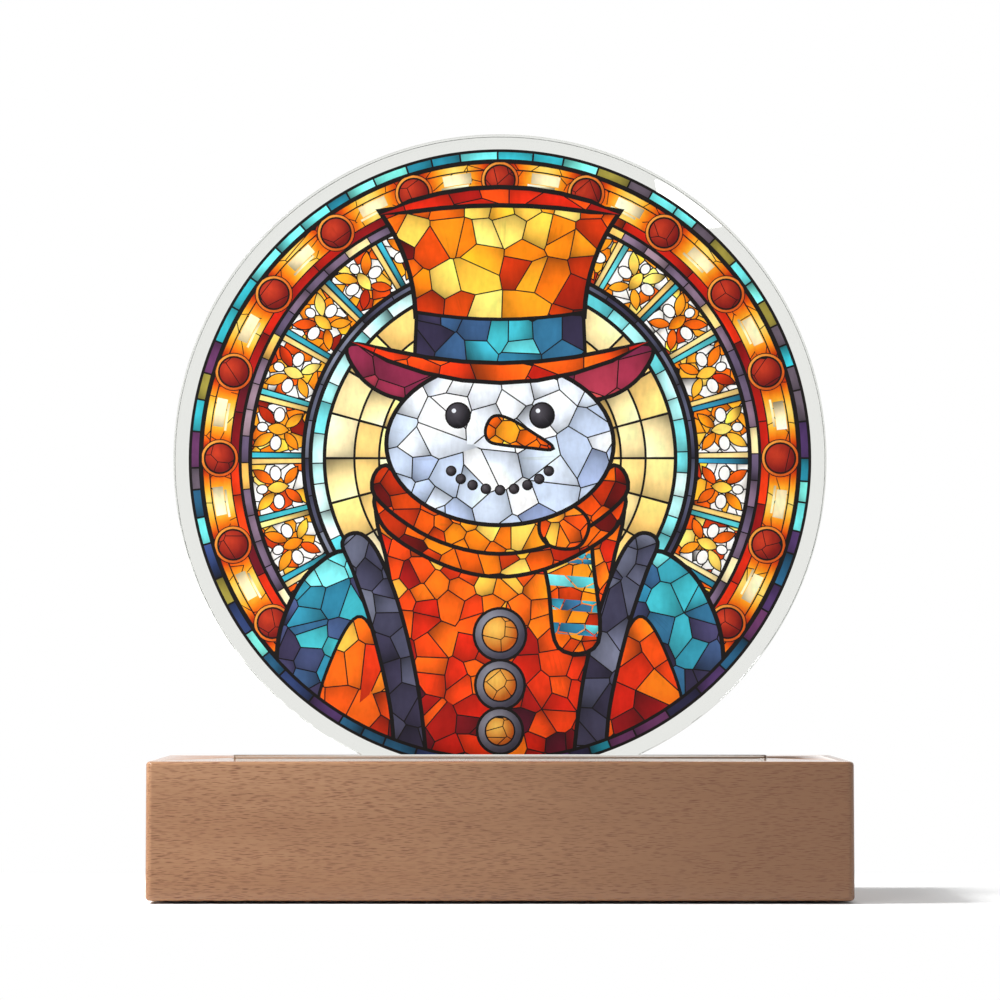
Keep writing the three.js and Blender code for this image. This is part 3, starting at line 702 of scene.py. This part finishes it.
lamp_nodes = [f"led_{index}" for index in range(1, 9)]
lamp_low, lamp_high = ends("led_1")
lamps = laid_out("lamps", lamp_pattern(), [middle_of(node) for node in lamp_nodes], {
    "Length": lamp_high.x - lamp_low.x, "Width": lamp_high.y - lamp_low.y, "Height": lamp_high.z - lamp_low.z,
    "Material": lamp_plastic(),
})
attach(lamps, "base")
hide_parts(*lamp_nodes)
mask = solder_mask()
for node in ("led_board", "control_board"):
    coat(node, mask)
for node in ("led_resistor_1", "led_resistor_2", "control_chip"):
    coat(node, black_plastic)
coat("wire_red", moulded("red_wire", srgb(170, 32, 28), srgb(190, 70, 60), 0.35))
coat("wire_black", black_plastic)

# The plaque: a disc of 6 mm cast acrylic with a straight foot, cut by laser in one piece, its edges
# polished by flame. It stands in the slot by its own weight.
plaque_low, plaque_high = ends("acrylic_plaque")
print_low, print_high = ends("colour_ink_layer")
plaque_radius = 0.0715
plaque_middle = plaque_high.z - plaque_radius
plaque_edge = 0.0002
foot_half = 0.058
print_gap = 0.0001
foot_top = print_low.z - print_gap
foot_level = foot_top - plaque_middle
foot_turn = math.asin(foot_level / plaque_radius)
rim_turns = np.linspace(foot_turn, math.pi - foot_turn, 320)
rim_across, rim_up = plaque_radius * np.cos(rim_turns), plaque_radius * np.sin(rim_turns)
foot_corners = [(-foot_half, foot_top), (-foot_half, plaque_low.z)]
foot_corners += [(foot_half, plaque_low.z), (foot_half, foot_top)]
plaque_rim = np.concatenate((np.column_stack((rim_across, plaque_middle + rim_up)), foot_corners))


def acrylic():
    """Clear cast sheet. Lamps shine straight through it, on to the ink behind."""
    finish = Finish("clear_acrylic")
    haze = finish.noise((60, 60, 60), 3.0)
    sheet = finish.node("BsdfPrincipled", None, {
        "Base Color": srgb(230, 231, 227), "Roughness": finish.steps(haze, 0.3, 0.7, 0.0, 0.015),
        "Transmission Weight": 1.0, "IOR": 1.49,
    })
    open_way = finish.node("BsdfTransparent", None, {"Color": srgb(236, 239, 237)})
    shadow, diffuse = (finish.node("LightPath", output=f"Is {kind} Ray") for kind in ("Shadow", "Diffuse"))
    whole = finish.node("MixShader", None, {0: shadow.most(diffuse), 1: sheet, 2: open_way})
    finish.node("OutputMaterial", None, {"Surface": whole})
    return finish.owner


plaque = standing_plate("plaque_sheet", plaque_rim, [], plaque_low.y, plaque_high.y, plaque_edge)
plaque.data.materials.append(acrylic())
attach(plaque, "plaque")
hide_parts("acrylic_plaque")


def white_ink():
    finish = Finish("white_ink")
    cloud = finish.noise((120, 120, 120), 4.0, 0.6)
    grain = finish.noise((7000, 7000, 7000))
    shade = finish.mix(finish.steps(cloud, 0.3, 0.7), srgb(238, 238, 234), srgb(246, 246, 243))
    bump = finish.bump(grain, 0.15, 0.00002)
    return finish.surface(shade, finish.steps(cloud, 0.3, 0.7, 0.42, 0.52), bump)


coat("white_ink_layer", white_ink())

# The print: white and then coloured ink, cured on the front of the plaque. Its design is a round
# leaded window with a plain snowman in a top hat, drawn as flat panes of glass between dark leads.
print_radius = (print_high.x - print_low.x) / 2 * 1000
print_cut = (print_low.z - plaque_middle) * 1000
print_grain = 0.95
fine_lead = 0.27
main_lead = 1.0
draw = np.random.default_rng(20)
shapes = []


def inks(*colours):
    return np.array(colours, float)


lead_ink = inks((22, 18, 17))
fire = inks((255, 222, 112), (255, 186, 52), (246, 132, 14), (226, 82, 8), (172, 36, 8), (96, 14, 12))
ember = inks((255, 190, 70), (250, 120, 18), (236, 70, 14), (204, 34, 14), (138, 18, 20), (76, 18, 36))
sky = inks((120, 220, 222), (62, 178, 190), (44, 124, 156), (54, 88, 128), (70, 66, 104), (48, 42, 66))
snow = inks((246, 249, 252), (222, 230, 242), (198, 212, 232), (170, 186, 216), (138, 154, 192))
cream = inks((254, 238, 190), (252, 224, 152), (250, 206, 118), (242, 184, 88))
pale_sky = inks((214, 246, 242), (160, 232, 232), (104, 208, 214), (66, 170, 184))
dusk = inks((176, 150, 158), (132, 108, 128), (96, 82, 108), (74, 62, 82))
plum = inks((196, 84, 70), (150, 44, 70), (108, 34, 66), (76, 28, 50))
slate = inks((112, 116, 134), (74, 76, 98), (52, 48, 70), (40, 34, 50))
bright_chips = inks(
    (110, 226, 226), (52, 176, 190), (120, 226, 214), (36, 128, 150), (150, 138, 60), (96, 84, 96),
)
deep_chips = inks((44, 60, 104), (74, 50, 96), (36, 84, 116), (98, 52, 94), (40, 38, 66), (30, 120, 140))


def tone(palette, level, spread=0.17):
    """A colour from a light-to-dark palette, near the given level."""
    spot = np.clip(level + draw.normal(0, spread), 0, 0.999) * (len(palette) - 1)
    first = int(spot)
    return palette[first] + (palette[first + 1] - palette[first]) * (spot - first)


def flat(colour):
    return lambda points: np.repeat(np.reshape(colour, (1, 3)), len(points), axis=0)


def glass(colour, outline):
    """Hand-made glass: lighter towards its middle, and lighter on one side than on the other."""
    middle = outline.mean(0)
    reach = max(np.abs(outline - middle).max(), 0.3)
    lean = draw.normal(0, 0.17, 2)

    def paint(points):
        away = (points - middle) / reach
        light = 1.07 + away @ lean - 0.16 * (away ** 2).sum(1)
        return colour * light[:, None]
    return paint


def ball(x, y, radius, light, dark):
    """A rounded boss, lit from the upper left."""
    def paint(points):
        away = np.hypot(points[:, 0] - x + radius * 0.32, points[:, 1] - y - radius * 0.32)
        level = np.clip(away / (radius * 1.3), 0, 1)[:, None] ** 1.4
        return np.array(light) * (1 - level) + np.array(dark) * level
    return paint


def tube(inner, outer, middle, half, palette):
    """A length of bent glass rod, light at its middle and dark at its ends."""
    def paint(points):
        radius = np.hypot(points[:, 0], points[:, 1])
        turn = np.degrees(np.arctan2(points[:, 1], points[:, 0]))
        along = np.abs((turn - middle + 180) % 360 - 180) / half
        across = np.abs(2 * (radius - inner) / (outer - inner) - 1)
        level = np.clip(along ** 1.5 * 0.85 + across ** 2 * 0.2, 0, 0.999) * (len(palette) - 1)
        first = level.astype(int)
        return palette[first] + (palette[first + 1] - palette[first]) * (level - first)[:, None]
    return paint


def lead_in(outline):
    """A shape of bare lead."""
    shapes.append((outline, flat(lead_ink)))


def lay(outline, colour):
    """One pane of glass in a colour."""
    shapes.append((outline, glass(colour, outline)))


def arc(radius, start, end, step=3.0):
    turns = np.radians(np.linspace(start, end, max(2, int(abs(end - start) / step) + 2)))
    return np.column_stack((radius * np.cos(turns), radius * np.sin(turns)))


def ring_pane(inner, outer, start, end, gap=fine_lead):
    """A pane between two radii and two angles, kept half a lead's width off its neighbours."""
    half = math.degrees(gap / 2 / ((inner + outer) / 2))
    return np.concatenate((arc(outer, start + half, end - half), arc(inner, end - half, start + half)))


def leaning(x, y, across, up, lean):
    """Points set out from a middle point, turned by an angle."""
    return np.column_stack((x + across * math.cos(lean) - up * math.sin(lean),
                            y + across * math.sin(lean) + up * math.cos(lean)))


def oval(x, y, wide, tall, lean=0.0, count=20):
    turns = np.linspace(0, 2 * np.pi, count, endpoint=False)
    return leaning(x, y, wide * np.cos(turns), tall * np.sin(turns), lean)


def leaf(x, y, length, width, lean, count=7):
    """A pointed leaf about a middle point."""
    along = np.linspace(-1, 1, count)
    half = width / 2 * (1 - along ** 2)
    across = np.concatenate((along, along[-2:0:-1])) * length / 2
    return leaning(x, y, across, np.concatenate((-half, half[-2:0:-1])), lean)


def flowing(corners, steps=6):
    """A closed smooth line through the corners."""
    here = np.array(corners, float)
    before, after, beyond = np.roll(here, 1, 0), np.roll(here, -1, 0), np.roll(here, -2, 0)
    line = []
    for t in np.linspace(0, 1, steps, endpoint=False):
        bend = (2 * before - 5 * here + 4 * after - beyond) * t ** 2
        bend += (3 * here - before - 3 * after + beyond) * t ** 3
        line.append(0.5 * (2 * here + (after - before) * t + bend))
    return np.stack(line, 1).reshape(-1, 2)


def bowed(*sides):
    """A closed outline from its corners, each with how far the side that leaves it bows outwards."""
    line = []
    for (x, y, bow), (x2, y2, _) in zip(sides, sides[1:] + sides[:1]):
        reach = math.hypot(x2 - x, y2 - y)
        for t in np.linspace(0, 1, 9)[:-1]:
            lift = 4 * bow * t * (1 - t) / reach
            line.append((x + (x2 - x) * t + (y2 - y) * lift, y + (y2 - y) * t - (x2 - x) * lift))
    return np.array(line)


def both(outline):
    """An outline and its mirror image."""
    return outline, outline * (-1, 1)


def cut_back(points, direction, limit):
    """The part of an outline that lies within a limit along a direction."""
    past = points @ direction - limit
    kept = []
    for here, after, past_here, past_after in zip(points, np.roll(points, -1, 0), past, np.roll(past, -1)):
        if past_here <= 0:
            kept.append(here)
        if (past_here < 0 < past_after) or (past_after < 0 < past_here):
            kept.append(here + (after - here) * past_here / (past_here - past_after))
    return np.array(kept)


def area(points):
    x, y = points.T
    return abs((x * np.roll(y, -1) - y * np.roll(x, -1)).sum()) / 2


def crackle(outline, spacing, gap=fine_lead, stretch=1.0):
    """The outline broken into irregular panes, with a lead's width between them."""
    low, high = outline.min(0) - spacing, outline.max(0) + spacing
    rows = np.arange(low[1], high[1], spacing * stretch)
    seeds = [(x + (row % 2) * spacing / 2, y)
             for row, y in enumerate(rows) for x in np.arange(low[0], high[0], spacing)]
    seeds = np.array(seeds) + draw.uniform(-0.5, 0.5, (len(seeds), 2)) * spacing
    seeds = seeds[draw.random(len(seeds)) > 0.22]
    for seed in seeds:
        away = seeds - seed
        reach = np.hypot(away[:, 0], away[:, 1])
        pane = outline
        for other in np.argsort(reach)[1:14]:
            direction = away[other] / reach[other]
            pane = cut_back(pane, direction, seed @ direction + (reach[other] - gap) / 2)
            if len(pane) < 3:
                break
        if len(pane) > 2 and area(pane) > 0.12:
            yield pane


def glaze(outline, palette, level, spacing, lead=main_lead, stretch=1.0, spread=0.17):
    """A shape in the design: its leads, and then its panes in the palette's colours."""
    outline = facing_out(outline)
    lead_in(grown(outline, lead))
    for pane in crackle(outline, spacing, stretch=stretch):
        lay(pane, tone(palette, level(*pane.mean(0)), spread))


def single(outline, paint, lead=0.3):
    """A shape of one pane with a lead round it."""
    outline = facing_out(outline)
    lead_in(grown(outline, lead))
    shapes.append((outline, paint))


# The design's ground, from the middle out: a pale sunburst, two plain rings and a ring of tracery
# in 24 bays, all in lead.
lowest = math.degrees(math.asin(print_cut / print_radius))
print_outline = np.concatenate((arc(print_radius, lowest, 180 - lowest, 1.2), [(0, print_cut)]))
lead_in(print_outline)

for inner, outer, count in (
    (2.0, 13.0, 12), (13.5, 20.6, 24), (21.1, 26.2, 24), (26.7, 31.6, 24), (32.1, 38.0, 24),
):
    for index in range(count):
        pane = ring_pane(inner, outer, index * 360 / count, (index + 1) * 360 / count, 0.5)
        lay(pane, tone(cream, 0.15 + 0.6 * draw.random()))
turn = 2.0
while turn < 356:
    width = draw.uniform(6, 12)
    pane = ring_pane(38.8, 41.0, turn, min(turn + width, 362.0))
    lay(pane, tone(pale_sky, draw.random()))
    turn += width
for index in range(32):
    pane = ring_pane(41.9, 42.6, index * 11.25, (index + 1) * 11.25)
    lay(pane, tone(slate, 0.3))

bay, tracery_inner, tracery_middle, tracery_outer = 15.0, 43.5, 48.8, 54.2
for index in range(24):
    middle = index * bay + bay / 2
    ground = ring_pane(tracery_inner, tracery_outer, middle - bay / 2 + 1.5, middle + bay / 2 - 1.5, 0.0)
    for pane in crackle(ground, 2.5):
        bright = draw.random() < 0.5
        colour = inks((250, 246, 240)) if bright else tone(fire, 0.1 + 0.55 * draw.random())
        lay(pane, colour)
    for side, palette, level in ((-1, sky, 0.25), (1, cream, 0.6)):
        start = middle - bay / 2 + side * 0.75
        bar = ring_pane(tracery_inner, tracery_outer, start - 0.55, start + 0.55, 0.0)
        single(bar, glass(tone(palette, level), bar), 0.3)
    outward = math.radians(middle)
    for along, across, length, width, lean, level in (
        (3.0, 2.7, 5.2, 2.1, 0.7, 0.35), (3.0, -2.7, 5.2, 2.1, -0.7, 0.45),
        (-3.0, 2.2, 4.6, 1.9, -0.8, 0.5), (-3.0, -2.2, 4.6, 1.9, 0.8, 0.3), (0.2, 0.0, 4.6, 2.3, 0.0, 0.1),
    ):
        x, y = leaning(0, 0, tracery_middle + along, across, outward)[0]
        petal = leaf(x, y, length, width, outward + lean)
        single(petal, glass(tone(fire, level), petal), 0.26)
    for along, across, wide, tall in ((0.3, 3.1, 1.1, 1.5), (0.3, -3.1, 1.1, 1.5), (3.6, 0.0, 1.1, 0.9)):
        x, y = leaning(0, 0, tracery_middle + along, across, outward)[0]
        single(oval(x, y, wide, tall, outward, 14), flat(inks((253, 251, 247))), 0.28)

for index in range(60):
    pane = ring_pane(55.1, 56.5, index * 6 + 1, index * 6 + 7)
    colour = tone(cream if index % 5 == 0 else dusk, 0.2 + 0.5 * draw.random())
    lay(pane, colour)

# The border: twenty lengths of amber rod between dark red bosses, framed by a narrow band each side.
boss_ring = 61.3
for index in range(20):
    middle = index * 18.0 + 9.0
    for start, end in ((-9, -1), (-1, 9)):
        pane = ring_pane(57.2, 58.8, middle + start, middle + end)
        lay(pane, tone(ember, 0.72))
    for inner, outer in ((59.1, 60.6), (60.6, 63.4), (63.7, 64.9)):
        for pane in crackle(ring_pane(inner, outer, middle - 9, middle + 9), 7.0, 0.2):
            shapes.append((pane, tube(inner - 1.5, outer + 1.5, middle, 7.0, fire)))
    for inner, outer, start, end in ((60.9, 63.2, -3.3, 2.7), (60.2, 60.7, -2.6, 3.4)):
        pane = ring_pane(inner, outer, middle + start, middle + end)
        lay(pane, inks((255, 234, 184))[0])
for index in range(20):
    turn = math.radians(index * 18.0)
    x, y = boss_ring * math.cos(turn), boss_ring * math.sin(turn)
    single(oval(x, y, 4.0, 4.0, count=28), ball(x, y, 4.4, (252, 176, 70), (208, 84, 24)), 0.2)
    lead_in(oval(x, y, 3.5, 3.5, count=28))
    for pane in crackle(oval(x, y, 3.1, 3.1, count=28), 4.2, 0.18):
        shapes.append((pane, ball(x, y, 3.1, (206, 62, 34), (112, 20, 18))))

# The snowman's coat: blue sleeves with warm cuffs, a red waistcoat with three buttons, dark lapels.
sleeve = flowing([(-33, -21), (-40, -24), (-45, -31), (-48, -41), (-47, -54), (-38, -66), (-18, -70),
                  (-20, -48), (-27, -30)])
cuff = flowing([(-31, -35), (-27, -40), (-22, -52), (-19, -70), (-35, -70), (-39.5, -56), (-36, -43)])
lapel = flowing([(-34, -18.5), (-30.5, -17), (-26.5, -22), (-22, -34), (-18, -52), (-16.5, -72), (-21.5, -72),
                 (-23.5, -54), (-27.5, -37), (-31.5, -25)])
waistcoat = flowing([(-25, -8), (0, -12), (25, -8), (24, -24), (20, -44), (19, -72), (-19, -72), (-20, -44),
                     (-24, -24)])
for outline in both(sleeve):
    glaze(outline, sky, lambda x, y: 0.3 + 0.03 * abs(abs(x) - 37) + (-34 - y) * 0.022, 4.6, 1.0, spread=0.2)
for outline in both(cuff):
    glaze(outline, ember, lambda x, y: 0.2 + (-38 - y) * 0.016, 5.0, 0.7, spread=0.2)
glaze(waistcoat, ember, lambda x, y: 0.08 + abs(x) * 0.018 + max(0, -26 - y) * 0.013, 4.3, 0.9, spread=0.2)
for outline in both(lapel):
    glaze(outline, slate, lambda x, y: 0.15 + (-20 - y) * 0.012, 5.4, 0.9)
for y, size in ((-38.5, 3.7), (-49.5, 3.4), (-59.5, 3.0)):
    rim_size = size + 1.7
    single(oval(0, y, rim_size, rim_size, count=30), ball(0, y, size + 1.9, (150, 152, 164), (62, 60, 74)), 0.6)
    lead_in(oval(0, y, size + 0.35, size + 0.35, count=26))
    for pane in crackle(oval(0, y, size, size, count=26), 3.4, 0.2):
        shapes.append((pane, ball(0, y, size, (255, 206, 96), (188, 88, 22))))

# The scarf: two folds round the neck, a knot and one striped tail that hangs to the right.
tail = flowing([(9, -15), (18, -13), (20, -24), (21, -40), (13, -41), (11, -28)])
glaze(tail, fire, lambda x, y: 0.2 + (-16 - y) * 0.016, 3.8, 0.9)
for row in range(4):
    top = -20.5 - row * 5.2
    stripe = cut_back(cut_back(tail, np.array((0.08, 1.0)), top + 1.2), np.array((-0.08, -1.0)), 1.2 - top)
    for pane in crackle(stripe, 4.0):
        lay(pane, tone(sky, 0.3))
for fold in (
    [(-27, -9), (-22, -13), (0, -20), (22, -13), (27, -9), (24, -16), (12, -23), (0, -25.5), (-12, -23),
     (-24, -16)],
    [(-25, -2), (-18, -9), (0, -14.5), (18, -9), (25, -2), (27, -8), (15, -17), (0, -20.5), (-15, -17),
     (-27, -8)],
):
    glaze(flowing(fold), fire, lambda x, y: 0.2 + abs(x) * 0.02 + draw.random() * 0.2, 4.6, 0.9, 0.8)
knot = flowing([(10, -12), (15, -10.5), (19, -14), (17, -19), (11.5, -19), (9, -16)])
glaze(knot, ember, lambda x, y: 0.25, 3.4, 0.8)

# The head: a plain round of pale glass with coal eyes, a carrot nose and a row of small coals. The
# underside of the hat's brim shows behind it on both sides.
shade_side = flowing([
    (-32.6, 24.6), (-30.6, 18.6), (-25, 14.4), (-18, 13.2), (-11, 15), (-10, 20), (-20, 22),
])
for outline in both(shade_side):
    glaze(outline, plum, lambda x, y: 0.3 + (y - 16) * 0.03, 6.4, 0.9)
head_level, eye_apart, eye_level, coal = 3.2, 9.2, 9.4, 0.95
head = oval(0, head_level, 24.4, 17.4, count=64)
glaze(head, snow, lambda x, y: 0.05 + abs(x + 4) * 0.016 + max(0, 3 - y) * 0.03, 5.8, 0.95, spread=0.2)
for x in (-eye_apart, eye_apart):
    single(oval(x, eye_level, 2.5, 2.6, count=24), ball(x, eye_level, 2.6, (84, 80, 88), (20, 18, 22)), 0.35)
    shapes.append((oval(x - 0.9, eye_level + 1.0, 0.5, 0.5, count=10), flat(inks((240, 244, 250)))))
for angle in np.linspace(216, 324, 9):
    x, y = 13.2 * math.cos(math.radians(angle)), head_level + 10.2 * math.sin(math.radians(angle))
    single(oval(x, y, coal, coal, count=14), ball(x, y, coal, (92, 86, 92), (24, 20, 22)), 0.24)
carrot = flowing([(-2.8, 6.4), (-1.2, 8.9), (2.2, 8.2), (7.5, 5.0), (11.2, 2.3), (6.6, 2.6), (1.0, 3.2),
                  (-2.2, 4.0)])
glaze(carrot, fire, lambda x, y: 0.25 + 0.05 * abs(x - 2), 2.7, 0.7)

# The hat: a tall flared crown with its rim above, a blue band and a curled brim.
crown = bowed((-18.0, 31.5, 1.5), (18.0, 31.5, -1.8), (25.6, 54.0, 2.4), (-25.6, 54.0, -1.8))
rim = bowed((-26.4, 53.6, -2.6), (26.4, 53.6, 5.6))
band = bowed((-18.3, 22.0, 2.6), (18.3, 22.0, 0.0), (17.9, 31.6, -1.5), (-17.9, 31.6, 0.0))
brim = bowed((-32.6, 25.6, 8.6), (32.6, 25.6, -5.2))
glaze(crown, fire, lambda x, y: 0.04 + abs(x) * 0.028 + max(0, 44 - y) * 0.02, 5.3, 1.05, spread=0.2)
glaze(rim, ember, lambda x, y: 0.5 + abs(x) * 0.01, 8.5, 1.05)
glaze(band, sky, lambda x, y: 0.1 + abs(x - 2) * 0.045, 5.2, 0.8)
glaze(brim, ember, lambda x, y: 0.2 + abs(x) * 0.018, 7.0, 0.95)

# The outermost ring goes over everything: a broad lead and 64 chips of coloured glass.
for start in (-90, 90):
    half_ring = np.concatenate((arc(print_radius + 1, start, start + 180), arc(65.2, start + 180, start)))
    lead_in(half_ring)
edges = np.cumsum(draw.uniform(0.7, 1.35, 64))
edges = np.concatenate(([0], edges / edges[-1] * 360))
for start, end in zip(edges[:-1], edges[1:]):
    pane = ring_pane(65.9, 67.45, start, end, 0.4)
    upper = math.sin(math.radians((start + end) / 2)) + draw.uniform(-0.6, 0.6) > -0.1
    chip_inks = bright_chips if upper else deep_chips
    lay(pane, chip_inks[draw.integers(len(chip_inks))])


def flattened(layers, outline, grain):
    """One sheet of triangles in which the topmost shape colours each triangle."""
    rows = np.arange(-print_radius, print_radius, grain)
    loose = np.array([(x, y) for x in rows for y in rows])
    loose = loose + draw.uniform(-0.3, 0.3, loose.shape) * grain
    loose = loose[inside(loose, grown(outline, -grain / 2))]
    points, sides = [loose], []
    count = len(loose)
    for line, _ in layers:
        points.append(line)
        sides += [(count + step, count + (step + 1) % len(line)) for step in range(len(line))]
        count += len(line)
    points = [Vector(point) for point in np.concatenate(points)]
    spots, _, faces = delaunay_2d_cdt(points, sides, [], 0, 1e-4, False)[:3]
    spots, faces = np.array([tuple(spot) for spot in spots]), np.array(faces)
    middles = spots[faces].mean(1)
    faces = faces[inside(middles, outline)]
    middles = spots[faces].mean(1)
    owner = np.zeros(len(faces), int)
    for index, (line, _) in enumerate(layers):
        low, high = line.min(0), line.max(0)
        near = np.flatnonzero(((middles > low) & (middles < high)).all(1))
        owner[near[inside(middles[near], line)]] = index
    colours = np.zeros((len(faces), 3, 3))
    for index, (_, paint) in enumerate(layers):
        mine = np.flatnonzero(owner == index)
        if len(mine):
            colours[mine] = paint(spots[faces[mine]].reshape(-1, 2)).reshape(-1, 3, 3)
    return spots, faces, np.clip(colours / 255, 0, 1)


def printed_sheet(name, layers, outline, front, back):
    """The flattened design as a closed sheet of ink, with its colours and its place for baking."""
    spots, faces, colours = flattened(layers, outline, print_grain)
    used = np.unique(faces)
    renumber = np.full(len(spots), -1)
    renumber[used] = np.arange(len(used))
    spots, faces = spots[used], renumber[faces]
    pairs = np.concatenate([faces[:, [0, 1]], faces[:, [1, 2]], faces[:, [2, 0]]])
    known = {tuple(pair) for pair in pairs.tolist()}
    rim = [(a, b) for a, b in known if (b, a) not in known]
    rim.sort(key=lambda pair: math.atan2(spots[pair[0]][1], spots[pair[0]][0]))
    rim_back = {a: len(spots) + step for step, (a, b) in enumerate(rim)}
    hub = len(spots) + len(rim)
    corners = [(x / 1000, front, plaque_middle + y / 1000) for x, y in spots]
    corners += [(spots[a][0] / 1000, back, plaque_middle + spots[a][1] / 1000) for a, _ in rim]
    corners.append((0, back, plaque_middle))
    walls = [(b, a, rim_back[a], rim_back[b]) for a, b in rim]
    backs = [(rim_back[b], rim_back[a], hub) for a, b in rim]
    mesh = bpy.data.meshes.new(name)
    mesh.from_pydata(corners, [], faces.tolist() + walls + backs)
    dark_edge = 0.008
    inked = linear(colours).reshape(-1, 3)
    inked = np.concatenate((inked, np.full((len(mesh.loops) - len(inked), 3), dark_edge)))
    layer = mesh.color_attributes.new("glass", "FLOAT_COLOR", "CORNER")
    layer.data.foreach_set("color", np.column_stack((inked, np.ones(len(inked)))).ravel())
    width = print_radius * 2
    place = (spots[faces] / width * 0.98 + 0.5).reshape(-1, 2).tolist()
    corner_spot, wall_spot = np.array((0.07, 0.07)), np.array((0.93, 0.07))
    unit = {a: spots[a] / np.hypot(*spots[a]) for a, _ in rim}
    for a, b in rim:
        for corner, reach in ((b, 0.05), (a, 0.05), (a, 0.03), (b, 0.03)):
            place.append(wall_spot + unit[corner] * reach)
    for a, b in rim:
        place += [corner_spot + unit[b] * 0.05, corner_spot + unit[a] * 0.05, corner_spot]
    mesh.uv_layers.new(name="OFBake").data.foreach_set("uv", np.array(place).ravel())
    return placed(name, mesh)


def colour_ink():
    finish = Finish("colour_ink")
    glass_colour = finish.node("Attribute", {"attribute_name": "glass"}, output="Color")
    cloud = finish.noise((260, 260, 260), 3.0, 0.6)
    streak = finish.noise((900, 900, 300), turn=(0.0, 0.6, 0.0))
    light = 1.0 + (cloud - 0.5) * 0.5 + (streak - 0.5) * 0.3
    shade = finish.node("CombineColor", None, {"Red": light, "Green": light, "Blue": light})
    colour = finish.mix(1.0, glass_colour, shade, "MULTIPLY")
    grain = finish.noise((9000, 9000, 9000))
    bump = finish.bump(grain, 0.15, 0.00002)
    return finish.surface(colour, finish.steps(cloud, 0.3, 0.7, 0.32, 0.42), bump, {"Specular IOR Level": 0.12})


stained_print = printed_sheet("stained_print", shapes, print_outline, print_low.y, print_high.y)
stained_print.data.materials.append(colour_ink())
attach(stained_print, "plaque")
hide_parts("colour_ink_layer")
